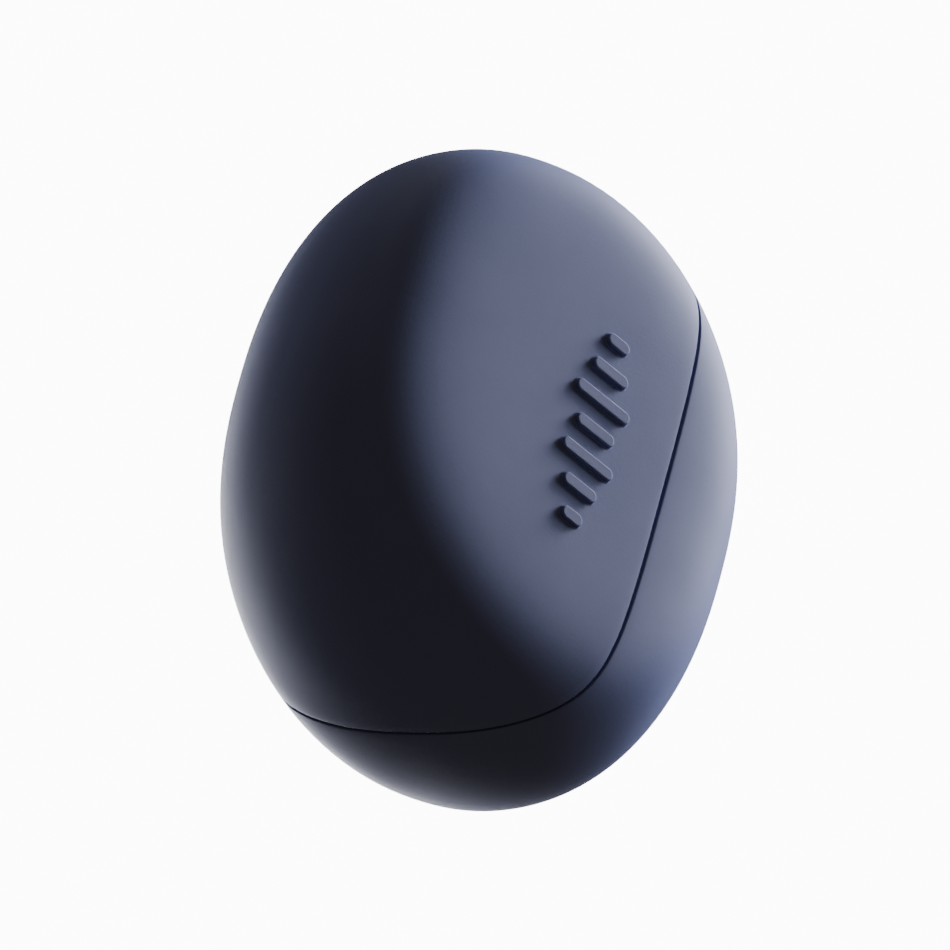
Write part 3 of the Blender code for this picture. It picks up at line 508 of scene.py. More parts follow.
def add_node(
    tree: bpy.types.NodeTree, kind: str, inputs: dict | None = None, **settings: object
) -> bpy.types.Node:
    """Add a node with its settings and what its inputs are joined or set to.

    Args:
        tree: the node tree.
        kind: the node's type name.
        inputs: by name or number, another node, a socket, or a plain value.
        settings: the node's own properties.

    Returns:
        The new node.
    """
    made = tree.nodes.new(kind)
    for name, value in settings.items():
        setattr(made, name, value)
    for key, value in (inputs or {}).items():
        source = value.outputs[0] if isinstance(value, bpy.types.Node) else value
        if isinstance(source, bpy.types.NodeSocket):
            tree.links.new(source, made.inputs[key])
        else:
            made.inputs[key].default_value = source
    return made


class Pattern(Enum):
    """How a surface was made, which sets the relief drawn on it."""

    SPRAYED = "fine even grain of a sprayed soft coat"
    SPARKED = "tiny pits of a spark-eroded mould"
    POLISHED = "nearly even, with faint waves"
    BRUSHED = "fine lines along X"
    CAST = "coarse soft lumps of a die casting"
    CELLS = "closed cells of a foam"
    CRINKLED = "shallow creases of a pressed foil"


@dataclass(frozen=True)
class Finish:
    """A real material and how its surface was made."""

    name: str
    slot: str
    colour: str
    shade: str
    roughness: float
    pattern: Pattern
    grain: float
    relief: float
    rough_spread: float = 0.06
    metallic: float = 0.0
    ior: float = 1.5
    sheen: float = 0.0
    coat: float = 0.0
    specular: float = 0.5
    patch: float = 6.0 * MM
    patch_range: tuple[float, float] = (0.3, 0.7)
    brush_stretch: float = 0.04
    sheen_roughness: float = 0.4
    sheen_tint: str = "D8DCF0"
    coat_roughness: float = 0.12

    def texture(self, tree: bpy.types.NodeTree, place: bpy.types.NodeSocket) -> bpy.types.Node:
        """The height pattern that the relief is read from.

        Args:
            tree: the material's node tree.
            place: the socket that gives the place on the object.

        Returns:
            The pattern's node, with the height as its first output.
        """
        scale = 1.0 / self.grain
        if self.pattern is Pattern.BRUSHED:
            stretch = (self.brush_stretch, 1.0, 1.0)
            stretched = add_node(tree, "ShaderNodeMapping", {"Vector": place, "Scale": stretch})
            return add_node(
                tree, "ShaderNodeTexNoise", {"Vector": stretched, "Scale": scale, "Detail": 3.0}
            )
        if self.pattern in (Pattern.SPARKED, Pattern.CELLS):
            feature = "SMOOTH_F1" if self.pattern is Pattern.SPARKED else "DISTANCE_TO_EDGE"
            return add_node(
                tree, "ShaderNodeTexVoronoi", {"Vector": place, "Scale": scale}, feature=feature
            )
        detail = {Pattern.CAST: 2.0, Pattern.CRINKLED: 1.0, Pattern.POLISHED: 1.0}
        return add_node(
            tree,
            "ShaderNodeTexNoise",
            {"Vector": place, "Scale": scale, "Detail": detail.get(self.pattern, 4.0)},
        )

    def build(self) -> bpy.types.Material:
        """The material, made once and shared after that."""
        if self.name in bpy.data.materials:
            return bpy.data.materials[self.name]
        material = bpy.data.materials.new(self.name)
        material.use_nodes = True
        tree = material.node_tree
        shader = tree.nodes["Principled BSDF"]
        place = add_node(tree, "ShaderNodeTexCoord").outputs["Object"]
        height = self.texture(tree, place)
        patches = add_node(
            tree,
            "ShaderNodeTexNoise",
            {"Vector": place, "Scale": 1.0 / self.patch, "Detail": 2.0},
        )
        mixed = add_node(
            tree,
            "ShaderNodeMath",
            {0: patches.outputs[0], 1: height.outputs[0]},
            operation="MULTIPLY",
        )
        blend = add_node(tree, "ShaderNodeMix", data_type="RGBA")
        tree.links.new(mixed.outputs[0], blend.inputs["Factor"])
        colours = [socket for socket in blend.inputs if socket.type == "RGBA"]
        colours[0].default_value = linear(self.colour)
        colours[1].default_value = linear(self.shade)
        result = next(socket for socket in blend.outputs if socket.type == "RGBA")
        tree.links.new(result, shader.inputs["Base Color"])
        rough = add_node(
            tree,
            "ShaderNodeMapRange",
            {
                "Value": patches.outputs[0],
                "From Min": self.patch_range[0],
                "From Max": self.patch_range[1],
                "To Min": self.roughness - self.rough_spread,
                "To Max": self.roughness + self.rough_spread,
            },
        )
        tree.links.new(rough.outputs[0], shader.inputs["Roughness"])
        bump = add_node(
            tree,
            "ShaderNodeBump",
            {"Height": height.outputs[0], "Strength": 1.0, "Distance": self.relief},
        )
        tree.links.new(bump.outputs[0], shader.inputs["Normal"])
        shader.inputs["Metallic"].default_value = self.metallic
        shader.inputs["Specular IOR Level"].default_value = self.specular
        if self.metallic == 0.0:
            shader.inputs["IOR"].default_value = self.ior
        if self.sheen:
            shader.inputs["Sheen Weight"].default_value = self.sheen
            shader.inputs["Sheen Roughness"].default_value = self.sheen_roughness
            shader.inputs["Sheen Tint"].default_value = linear(self.sheen_tint)
        if self.coat:
            shader.inputs["Coat Weight"].default_value = self.coat
            shader.inputs["Coat Roughness"].default_value = self.coat_roughness
        return material


# Fine grains are drawn at 0.12 to 0.45 mm, coarser than the real ones, because a finer grain
# wouldn't show in a picture of the whole case.

# Sprayed polyurethane soft touch over ABS: a matte slate blue with a fine even grain, which
# lightens softly where it turns to the light.
SOFT_TOUCH = Finish("soft_touch_paint_sprayed", "soft_touch_slate", "626C9E", "5E6798", 0.64,
                    Pattern.SPRAYED, 0.26 * MM, 0.010 * MM, rough_spread=0.012, ior=1.49,
                    specular=0.14)
# Spark-eroded ABS moulding: a paler slate with a satin, slightly pitted face.
SATIN_ABS = Finish("abs_spark_eroded_moulding", "inner_plastic", "6F7696", "666D8C", 0.44,
                   Pattern.SPARKED, 0.30 * MM, 0.010 * MM, ior=1.53)
# Plain moulded ABS button: the shell's slate blue with a smoother, softly shining face.
BUTTON_ABS = Finish("abs_satin_button", "button_plastic", "747A9A", "6C7291", 0.36,
                    Pattern.SPARKED, 0.20 * MM, 0.004 * MM, ior=1.53)
# Die-cast zinc with a dark electro-coat: a soft metallic grey with slow lumps.
CAST_ZINC = Finish("zinc_die_cast_coated", "zinc", "4A4D5C", "3E414F", 0.42,
                   Pattern.CAST, 0.9 * MM, 0.02 * MM, metallic=0.7)
# Drawn stainless steel wire and screws: bright, with fine lines along the drawing direction.
DRAWN_STEEL = Finish("stainless_steel_drawn", "steel", "C9C9CC", "B4B4B8", 0.28,
                     Pattern.BRUSHED, 0.12 * MM, 0.003 * MM, metallic=1.0)
# Nickel plate over stamped steel: warm grey and nearly mirror bright.
NICKEL_PLATE = Finish("nickel_plated_stamping", "nickel", "CFCBC2", "BEB9AF", 0.22,
                      Pattern.BRUSHED, 0.20 * MM, 0.002 * MM, metallic=1.0)
# Hard gold plate on the sprung pins: deep yellow, polished by the contacts.
GOLD_PLATE = Finish("gold_hard_plated", "gold", "E6C070", "D2A650", 0.20,
                    Pattern.POLISHED, 0.30 * MM, 0.001 * MM, metallic=1.0)
# Green solder mask over glass-fibre board: a glossy green with the weave just showing.
SOLDER_MASK = Finish("fr4_green_solder_mask", "board", "14553A", "0F4730", 0.34,
                     Pattern.SPARKED, 0.45 * MM, 0.006 * MM, ior=1.55, coat=0.3)
# Transfer-moulded epoxy chip body: flat near-black with a fine matte tooth.
CHIP_EPOXY = Finish("epoxy_transfer_moulded", "chip", "222326", "1B1C1F", 0.52,
                    Pattern.SPARKED, 0.12 * MM, 0.004 * MM, ior=1.55)
# Pressed and sintered ferrite: a dull grey-black, grainy as stone.
SINTERED_FERRITE = Finish("ferrite_sintered", "ferrite", "3C3B3D", "2E2D2F", 0.66,
                          Pattern.CAST, 0.18 * MM, 0.010 * MM, ior=2.2)
# Natural moulded nylon: milky off-white, faintly waxy.
NATURAL_NYLON = Finish("nylon_natural_moulding", "nylon", "E4E2D6", "D8D5C7", 0.44,
                       Pattern.POLISHED, 0.7 * MM, 0.006 * MM, ior=1.53)
# Laminated aluminium pouch: silver-grey with shallow pressed creases.
POUCH_FOIL = Finish("aluminium_laminate_pressed", "pouch_foil", "BFC1C4", "A9ABB0", 0.34,
                    Pattern.CRINKLED, 2.4 * MM, 0.05 * MM, metallic=0.85)
# Closed-cell polyurethane foam: charcoal, full of tiny cells that swallow light.
CELL_FOAM = Finish("polyurethane_foam_cut", "foam", "2B2B2E", "1F1F22", 0.92,
                   Pattern.CELLS, 0.45 * MM, 0.08 * MM)
# Extruded PVC sleeves: smooth, slightly shiny colour.
RED_PVC = Finish("pvc_red_extruded", "red_wire", "B3241F", "9E1C18", 0.40,
                 Pattern.POLISHED, 0.5 * MM, 0.004 * MM, ior=1.54)
BLACK_PVC = Finish("pvc_black_extruded", "black_wire", "242427", "1A1A1D", 0.40,
                   Pattern.POLISHED, 0.5 * MM, 0.004 * MM, ior=1.54)
# Polyimide film: amber, glossy, with long faint waves.
POLYIMIDE_FILM = Finish("polyimide_film_laminated", "polyimide", "A8661E", "8E5316", 0.30,
                        Pattern.POLISHED, 1.4 * MM, 0.006 * MM, ior=1.7, coat=0.4)
# Glass-filled PBT: black, dry-looking, with short fibres breaking the sheen.
BLACK_PBT = Finish("pbt_glass_filled_moulding", "black_plastic", "26272A", "1D1E21", 0.48,
                   Pattern.SPARKED, 0.22 * MM, 0.006 * MM, ior=1.57)
# Frosted acrylic light pipe: a milky bright dot.
FROSTED_ACRYLIC = Finish("acrylic_frosted", "clear_plastic", "E9ECF2", "DADFE8", 0.32,
                         Pattern.SPARKED, 0.15 * MM, 0.003 * MM, ior=1.49)
# Soft TPE bumper: matte black rubber with a soft bloom.
SOFT_TPE = Finish("tpe_soft_moulding", "tpe", "2A2B30", "222327", 0.74,
                  Pattern.SPARKED, 0.20 * MM, 0.006 * MM, sheen=0.15)


def dress(
    piece: bpy.types.Object, finish: Finish, body: Body | str, *replaced: str
) -> bpy.types.Object:
    """Give a finished piece its material and body, and hide the frame's nodes that it stands for.

    Args:
        piece: the piece, with its place in its mesh.
        finish: its finish.
        body: the body it rides on.
        replaced: the frame's nodes that it replaces.

    Returns:
        The same piece.
    """
    piece.data.materials.clear()
    piece.data.materials.append(finish.build())
    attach(piece, body.value if isinstance(body, Body) else body)
    if replaced:
        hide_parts(*replaced)
    LOG.info("%s: %d faces, %s", piece.name, len(piece.data.polygons), finish.name)
    return piece


# ---- Geometry Nodes -----------------------------------------------------------------------------


class NodeBuild:
    """A Geometry Nodes tree with named inputs, run on a mesh and turned into a plain one."""

    def __init__(self, name: str) -> None:
        """Start a tree with one geometry input and output.

        Args:
            name: the tree's name.
        """
        self.tree = bpy.data.node_groups.new(name, "GeometryNodeTree")
        face = self.tree.interface
        face.new_socket(name="Geometry", in_out="INPUT", socket_type="NodeSocketGeometry")
        face.new_socket(name="Geometry", in_out="OUTPUT", socket_type="NodeSocketGeometry")
        self.sockets: dict[str, str] = {}
        self.values: dict[str, object] = {}
        self.source: bpy.types.Node | None = None

    def size(self, name: str, value: float | int) -> None:
        """Add a named number input.

        Args:
            name: what the input is called.
            value: the number that it is given.
        """
        kind = "NodeSocketInt" if isinstance(value, int) else "NodeSocketFloat"
        socket = self.tree.interface.new_socket(name=name, in_out="INPUT", socket_type=kind)
        self.sockets[name] = socket.identifier
        self.values[name] = value

    def given(self, name: str) -> bpy.types.NodeSocket:
        """The socket that brings an input into the tree."""
        if self.source is None:
            self.source = self.tree.nodes.new("NodeGroupInput")
        return self.source.outputs[name]

    def add(self, kind: str, inputs: dict | None = None, **settings: object) -> bpy.types.Node:
        """Add a node to the tree."""
        return add_node(self.tree, kind, inputs, **settings)

    def maths(self, operation: str, *values: object) -> bpy.types.NodeSocket:
        """The result of one sum on sockets or numbers."""
        made = self.add("ShaderNodeMath", dict(enumerate(values)), operation=operation)
        return made.outputs[0]

    def run(
        self, name: str, mesh: bpy.types.Mesh, last: bpy.types.Node, finish: Finish
    ) -> bpy.types.Object:
        """End the tree, run it on a mesh and keep the result as a plain object.

        Args:
            name: the object's name.
            mesh: the mesh that the tree starts from.
            last: the node whose geometry is kept.
            finish: the finish that the tree sets.

        Returns:
            The finished object, without its modifier.
        """
        whole = self.add("GeometryNodeRealizeInstances", {"Geometry": last.outputs[0]})
        smooth = self.add("GeometryNodeSetShadeSmooth", {"Geometry": whole})
        dressed = self.add(
            "GeometryNodeSetMaterial", {"Geometry": smooth, "Material": finish.build()}
        )
        self.add("NodeGroupOutput", {0: dressed})
        made = link(name, mesh)
        modifier = made.modifiers.new(name, "NODES")
        modifier.node_group = self.tree
        for key, identifier in self.sockets.items():
            modifier[identifier] = self.values[key]
        return settle(made)


def marks(name: str, points: Array, **numbers: Array) -> bpy.types.Mesh:
    """A mesh of loose points for a tree to build on.

    Args:
        name: the mesh's name.
        points: the points' places.
        numbers: by attribute name, one number or direction for each point.

    Returns:
        The new mesh.
    """
    mesh = bpy.data.meshes.new(name)
    mesh.from_pydata([tuple(point) for point in points], [], [])
    for label, values in numbers.items():
        values = np.asarray(values, float)
        kind, key = ("FLOAT", "value") if values.ndim == 1 else ("FLOAT_VECTOR", "vector")
        mesh.attributes.new(label, kind, "POINT").data.foreach_set(key, values.ravel())
    return mesh


# ---- shells -------------------------------------------------------------------------------------


@dataclass
class ShellLoft:
    """Sections about the seam's upright, from one pole round the rim to the other pole."""

    pebble: Pebble
    hinge: HingeLine
    side: int
    outer_points: int = 84
    land_points: int = 30
    inner_points: int = 34
    bend_points: int = 6
    edge_cut: float = 0.13 * MM
    first_step: float = 0.024
    spread: float = math.radians(1.5)
    dense_spread: float = math.radians(0.25)
    least_spread: float = 0.6
    inner_cut: float = 0.6
    highest_rim: float = 1.2
    land_end: float = 0.02

    def angles(self) -> Array:
        """Directions round the seam, closer together where the hinge's steps cross the wall."""
        even = np.arange(-QUARTER, 3.0 * QUARTER, self.spread)
        extra = []
        back = self.hinge.axis[1]
        for half in (self.hinge.slot_half, self.hinge.bead_half):
            low = math.atan2(back - self.hinge.relief, half) - 2.0 * self.spread
            high = math.atan2(back + self.hinge.knuckle, half) + 2.0 * self.spread
            dense = np.arange(low, high, self.dense_spread)
            extra += [dense, math.pi - dense]
        every = np.sort(np.concatenate([even, *extra]))
        keep = np.concatenate([[True], np.diff(every) > self.dense_spread * self.least_spread])
        return every[keep]

    def ways(self, angles: Array, lifts: Array) -> Array:
        """Directions at each angle round the seam and each lift from it."""
        flat = np.cos(lifts)
        return np.stack([flat * np.cos(angles), flat * np.sin(angles), np.sin(lifts)], -1)

    def skin(
        self,
        angles: Array,
        inset: float,
        rim: Callable[[Array, Array], Array],
        count: int,
        keep: Callable[[Array], Array] | None = None,
    ) -> Array:
        """Points from the rim to the pole on the form drawn in by inset.

        Args:
            angles: directions round the seam.
            inset: how much every radius is shortened.
            rim: height of the rim at (x, along).
            count: how many points go from the rim to the pole.
            keep: a further test for points inside.

        Returns:
            Seam-frame points, by angle and from the rim to the pole.
        """
        origin = np.zeros(3)
        high = np.full(len(angles), self.highest_rim)
        low = -high
        for _ in range(HALVINGS):
            middle = (low + high) / 2.0
            ways = self.ways(angles, middle)
            point = ways * self.pebble.reach(origin, ways, inset, keep)[:, None]
            over = point[:, 2] > rim(point[:, 0], point[:, 1])
            low = np.where(over, low, middle)
            high = np.where(over, middle, high)
        start = high if self.side > 0 else low
        share = np.concatenate([[0.0], np.linspace(self.first_step, 1.0, count - 1)])
        lifts = start[:, None] + (self.side * QUARTER - start[:, None]) * share
        ways = self.ways(angles[:, None], lifts)
        return ways * self.pebble.reach(origin, ways, inset, keep)[..., None]

    def land(
        self, start: Array, end: Array, rim: Callable[[Array, Array], Array], count: int
    ) -> Array:
        """Points across the rim, kept inside the form at the back.

        Args:
            start: the rim's outer edge, by angle.
            end: its inner edge.
            rim: height of the rim at (x, along).
            count: how many points go across, with the two edges.

        Returns:
            Seam-frame points, by angle and from the outer edge inwards.
        """
        share = np.linspace(0.0, 1.0, count)[1:-1, None]
        line = start[:, None] + (end - start)[:, None] * share
        line[..., 2] = rim(line[..., 0], line[..., 1])
        middle = line * np.array([1.0, 0.0, 1.0])
        back = self.pebble.reach(middle, np.array([0.0, 1.0, 0.0]), 0.0)
        behind = line[..., 1] > self.hinge.axis[1] / 2.0
        line[..., 1] = np.where(behind, np.minimum(line[..., 1], back), line[..., 1])
        return line

    def build(
        self,
        name: str,
        rim: Callable[[Array, Array], Array],
        inner_keep: Callable[[Array], Array] | None = None,
    ) -> bpy.types.Object:
        """Loft the shell: outer skin, rounded edge, rim, rounded edge and inner skin.

        Args:
            name: the object's name.
            rim: height of the rim at (x, along).
            inner_keep: a test for points in the hollow.

        Returns:
            The closed shell.
        """
        angles = self.angles()
        outer = self.skin(angles, 0.0, rim, self.outer_points)[:, ::-1]
        inner = self.skin(angles, self.pebble.wall, rim, self.inner_points, inner_keep)
        land = self.land(outer[:, -1], inner[:, 0], rim, self.land_points)
        cut = self.edge_cut
        first = bend(outer[:, -2], outer[:, -1], land[:, 1], cut, self.bend_points)
        last = bend(land[:, -2], inner[:, 0], inner[:, 1], cut * self.inner_cut, self.bend_points)
        rows = np.concatenate(
            [outer[:, :-1], first, self.clear(land, first, last), last, inner[:, 1:]], axis=1
        )
        shape = bmesh.new()
        add_rings(shape, np.swapaxes(self.pebble.to_row(rows), 0, 1))
        return solid(name, shape)

    def clear(self, land: Array, first: Array, last: Array) -> Array:
        """The rim's points, drawn in between the ends of the two rounded edges.

        Args:
            land: points across the rim, by angle.
            first: the outer edge's points.
            last: the inner edge's points.

        Returns:
            As many points as the rim had.
        """
        start, end = first[:, -1], last[:, 0]
        way = end - start
        length = np.linalg.norm(way[:, :2], axis=1)[:, None]
        share = np.einsum("nki,ni->nk", (land - start[:, None])[..., :2], way[:, :2]) / length**2
        inside = (share > self.land_end) & (share < 1.0 - self.land_end)
        spot = np.clip(share, self.land_end, 1.0 - self.land_end)
        drawn = start[:, None] + way[:, None] * spot[..., None]
        return np.where(inside[..., None], land, drawn)


@dataclass
class Shells:
    """The base and the lid, and the raised motif on the lid's front."""

    pebble: Pebble
    hinge: HingeLine
    bar_count: int = 7
    bar_pitch: float = 3.6 * MM
    bar_width: float = 1.5 * MM
    bar_relief: float = 0.5 * MM
    bar_edge: float = 0.22 * MM
    bar_root: float = 0.16 * MM
    bar_sink: float = 0.3 * MM
    bar_heights: tuple[float, ...] = (2.8, 4.6, 7.0, 5.2, 7.4, 4.8, 3.0)
    corner_steps: int = 8
    port_margin: float = 0.3 * MM
    port_rounding: float = 0.42
    port_flare: float = 0.35 * MM
    port_reach: float = 5.4 * MM
    port_steps: int = 8
    bead_skin: float = 0.04 * MM
    saddle_wall: float = 1.1 * MM
    latitudes: tuple[float, ...] = (0.3, 0.55, 0.6, 0.78, 0.84)
    ball_sides: tuple[int, int] = (48, 40)

    def base(self) -> bpy.types.Object:
        """The base shell, with the bead along the hinge and the port's slot."""
        saddle = self.hinge.relief + self.saddle_wall
        # A hair over the bead's own radius, so that the rim has one clear inner edge.
        beyond_bead = self.hinge.clear_of_barrel(
            self.hinge.bead + self.bead_skin, self.hinge.bead_half
        )
        beyond_saddle = self.hinge.clear_of_barrel(saddle, self.hinge.slot_half)

        def hollow(local: Array) -> Array:
            """Whether seam-frame points are in the base's hollow."""
            return beyond_bead(local) & beyond_saddle(local)

        loft = ShellLoft(self.pebble, self.hinge, -1)
        shell = loft.build("base_shell_finished", self.hinge.base_rim, hollow)
        carve(shell, self.port_cutter())
        shell.data.shade_smooth()
        return dress(shell, SOFT_TOUCH, Body.BASE, "base_shell")

    def port_cutter(self) -> bpy.types.Object:
        """A rounded plug with a flared mouth, as large as the port and its margin."""
        low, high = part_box("usb_socket")
        middle = (low + high) / 2.0
        width = high.x - low.x + 2.0 * self.port_margin
        height = high.z - low.z + 2.0 * self.port_margin
        face = self.pebble.centre[1] + self.pebble.back_flat
        steps = [(-self.port_reach, 0.0)]
        for step in range(self.port_steps + 1):
            turn = QUARTER * step / self.port_steps
            depth = -self.port_flare * (1.0 - math.sin(turn))
            steps.append((depth, self.port_flare * (1.0 - math.cos(turn))))
        steps.append((self.pebble.wall, self.port_flare))
        rounding = height * self.port_rounding
        outlines = []
        for depth, grow in steps:
            size = (width + 2.0 * grow, height + 2.0 * grow)
            outlines.append((face + depth, lozenge(*size, rounding + grow, self.corner_steps)))
        return loft("port_cutter", outlines, middle)

    def lid(self) -> bpy.types.Object:
        """The lid shell, scooped out over the hinge's bead."""
        loft = ShellLoft(self.pebble, self.hinge, 1)
        shell = loft.build("lid_shell_finished", self.hinge.lid_rim)
        return dress(shell, SOFT_TOUCH, Body.LID, "lid_shell")

    def motif(self) -> bpy.types.Object:
        """Seven upright bars with domed edges and filleted roots, one tree for all of them."""
        first = -(self.bar_count - 1) / 2.0 * self.bar_pitch
        face = self.pebble.centre[1] - self.pebble.half_thickness
        spots = [
            (first + index * self.bar_pitch, face, self.pebble.centre[2])
            for index in range(self.bar_count)
        ]
        runs = [(height * MM - self.bar_width) / 2.0 for height in self.bar_heights]
        build = NodeBuild("raised_bars")
        for name, value in (
            ("Width", self.bar_width), ("Relief", self.bar_relief), ("Edge", self.bar_edge),
            ("Root", self.bar_root), ("Sink", self.bar_sink),
        ):
            build.size(name, value)
        do, given = build.maths, build.given
        sides, rows = self.ball_sides
        ball = build.add(
            "GeometryNodeMeshUVSphere", {"Segments": sides, "Rings": rows, "Radius": 1.0}
        )
        place = build.add("GeometryNodeInputPosition")
        apart = build.add("ShaderNodeSeparateXYZ", {0: place})
        share = do("DIVIDE", do("ARCCOSINE", apart.outputs[2]), math.pi)
        # The ball's latitude runs along the bar's section: top, rounded edge, wall, root, foot.
        top_end, edge_end, wall_end, root_end, foot_end = self.latitudes
        top = do("SUBTRACT", do("MULTIPLY", given("Width"), 0.5), given("Edge"))
        flat = do("MULTIPLY", do("MINIMUM", do("DIVIDE", share, top_end), 1.0), top)
        turn = do("MULTIPLY", self.clamped(build, share, top_end, edge_end), QUARTER)
        edge_out = do("MULTIPLY", do("SINE", turn), given("Edge"))
        edge_down = do("MULTIPLY", do("SUBTRACT", 1.0, do("COSINE", turn)), given("Edge"))
        wall = do("SUBTRACT", do("SUBTRACT", given("Relief"), given("Edge")), given("Root"))
        wall_down = do("MULTIPLY", self.clamped(build, share, edge_end, wall_end), wall)
        root = do("MULTIPLY", self.clamped(build, share, wall_end, root_end), QUARTER)
        root_out = do("MULTIPLY", do("SUBTRACT", 1.0, do("COSINE", root)), given("Root"))
        root_down = do("MULTIPLY", do("SINE", root), given("Root"))
        sunk = do("MULTIPLY", self.clamped(build, share, root_end, foot_end), given("Sink"))
        closing = do("SUBTRACT", 1.0, self.clamped(build, share, foot_end, 1.0))
        radius = do("MULTIPLY", closing, do("ADD", do("ADD", flat, edge_out), root_out))
        down = do("ADD", do("ADD", edge_down, wall_down), do("ADD", root_down, sunk))
        depth = do("SUBTRACT", down, given("Relief"))
        square = do("MULTIPLY", apart.outputs[2], apart.outputs[2])
        # The ball's own radius at a latitude, kept off 0 at the two poles.
        ring = do("MAXIMUM", 1e-6, do("SQRT", do("SUBTRACT", 1.0, square)))
        across = do("MULTIPLY", do("DIVIDE", apart.outputs[0], ring), radius)
        along = do("MULTIPLY", do("DIVIDE", apart.outputs[1], ring), radius)
        ends = build.add(
            "GeometryNodeStoreNamedAttribute",
            {"Geometry": ball, "Name": "end", "Value": do("SIGN", apart.outputs[1])},
            data_type="FLOAT", domain="POINT",
        )
        formed = build.add(
            "GeometryNodeSetPosition",
            {"Geometry": ends, "Position": build.add(
                "ShaderNodeCombineXYZ", {0: across, 1: depth, 2: along})},
        )
        placed = build.add(
            "GeometryNodeInstanceOnPoints", {"Points": build.given("Geometry"), "Instance": formed}
        )
        joined = build.add("GeometryNodeRealizeInstances", {"Geometry": placed})
        run, end = (
            build.add("GeometryNodeInputNamedAttribute", {"Name": label}, data_type="FLOAT")
            for label in ("run", "end")
        )
        run_out = do("MULTIPLY", run.outputs[0], end.outputs[0])
        drawn = build.add(
            "GeometryNodeSetPosition",
            {"Geometry": joined, "Offset": build.add("ShaderNodeCombineXYZ", {2: run_out})},
        )
        bars = build.run("motif_bars", marks("motif_bars", spots, run=runs), drawn, SOFT_TOUCH)
        return dress(bars, SOFT_TOUCH, Body.LID)

    @staticmethod
    def clamped(
        build: NodeBuild, share: bpy.types.NodeSocket, start: float, end: float
    ) -> bpy.types.NodeSocket:
        """How far share has gone from start to end, kept between 0 and 1."""
        made = build.add(
            "ShaderNodeMapRange", {"Value": share, "From Min": start, "From Max": end}
        )
        return made.outputs[0]

    def build(self) -> None:
        """Build both shells and the motif."""
        self.base()
        self.lid()
        self.motif()


# ---- inside pieces ------------------------------------------------------------------------------


def seat(node: str, axis: Array) -> tuple[Array, float]:
    """Where a round node stands.

    Args:
        node: the node's name.
        axis: the direction of its axis.

    Returns:
        The lowest point of its axis, and its length along the axis.
    """
    points = np.array([vertex.co for vertex in frame["nodes"][node].data.vertices])
    heights = points @ axis
    flat = points - heights[:, None] * axis
    middle = (flat.min(0) + flat.max(0)) / 2.0
    return middle + axis * heights.min(), float(np.ptp(heights))


@dataclass
class Softened:
    """A piece with its flat faces joined and its edges rounded."""

    radius: float = 0.2 * MM
    segments: int = 3
    flat: float = math.radians(1.0)
    corner: float = math.radians(32.0)
    weld: float = 0.002 * MM

    def apply(self, name: str, source: bpy.types.Mesh) -> bpy.types.Object:
        """A softened object made from a closed mesh.

        Args:
            name: the object's name.
            source: the closed mesh.

        Returns:
            The new object, with faces that shade flat beside round edges.
        """
        shape = bmesh.new()
        shape.from_mesh(source)
        bmesh.ops.remove_doubles(shape, verts=shape.verts, dist=self.weld)
        bmesh.ops.dissolve_limit(
            shape, angle_limit=self.flat, verts=shape.verts, edges=shape.edges
        )
        sharp = [
            edge for edge in shape.edges
            if edge.is_manifold and edge.calc_face_angle(0.0) > self.corner
        ]
        bmesh.ops.bevel(
            shape, geom=sharp, offset=self.radius, segments=self.segments, profile=0.5,
            affect="EDGES", clamp_overlap=True,
        )
        piece = solid(name, shape, self.corner)
        shading = piece.modifiers.new("shading", "WEIGHTED_NORMAL")
        shading.weight = 100
        shading.keep_sharp = True
        triangles = piece.modifiers.new("triangles", "TRIANGULATE")
        triangles.keep_custom_normals = True
        return settle(piece)

    def build(self, node: str, finish: Finish, body: Body | str) -> bpy.types.Object:
        """Build the softened piece that stands for a node, from the node's own solid."""
        piece = self.apply(f"{node}_finished", frame["nodes"][node].data)
        return dress(piece, finish, body, node)


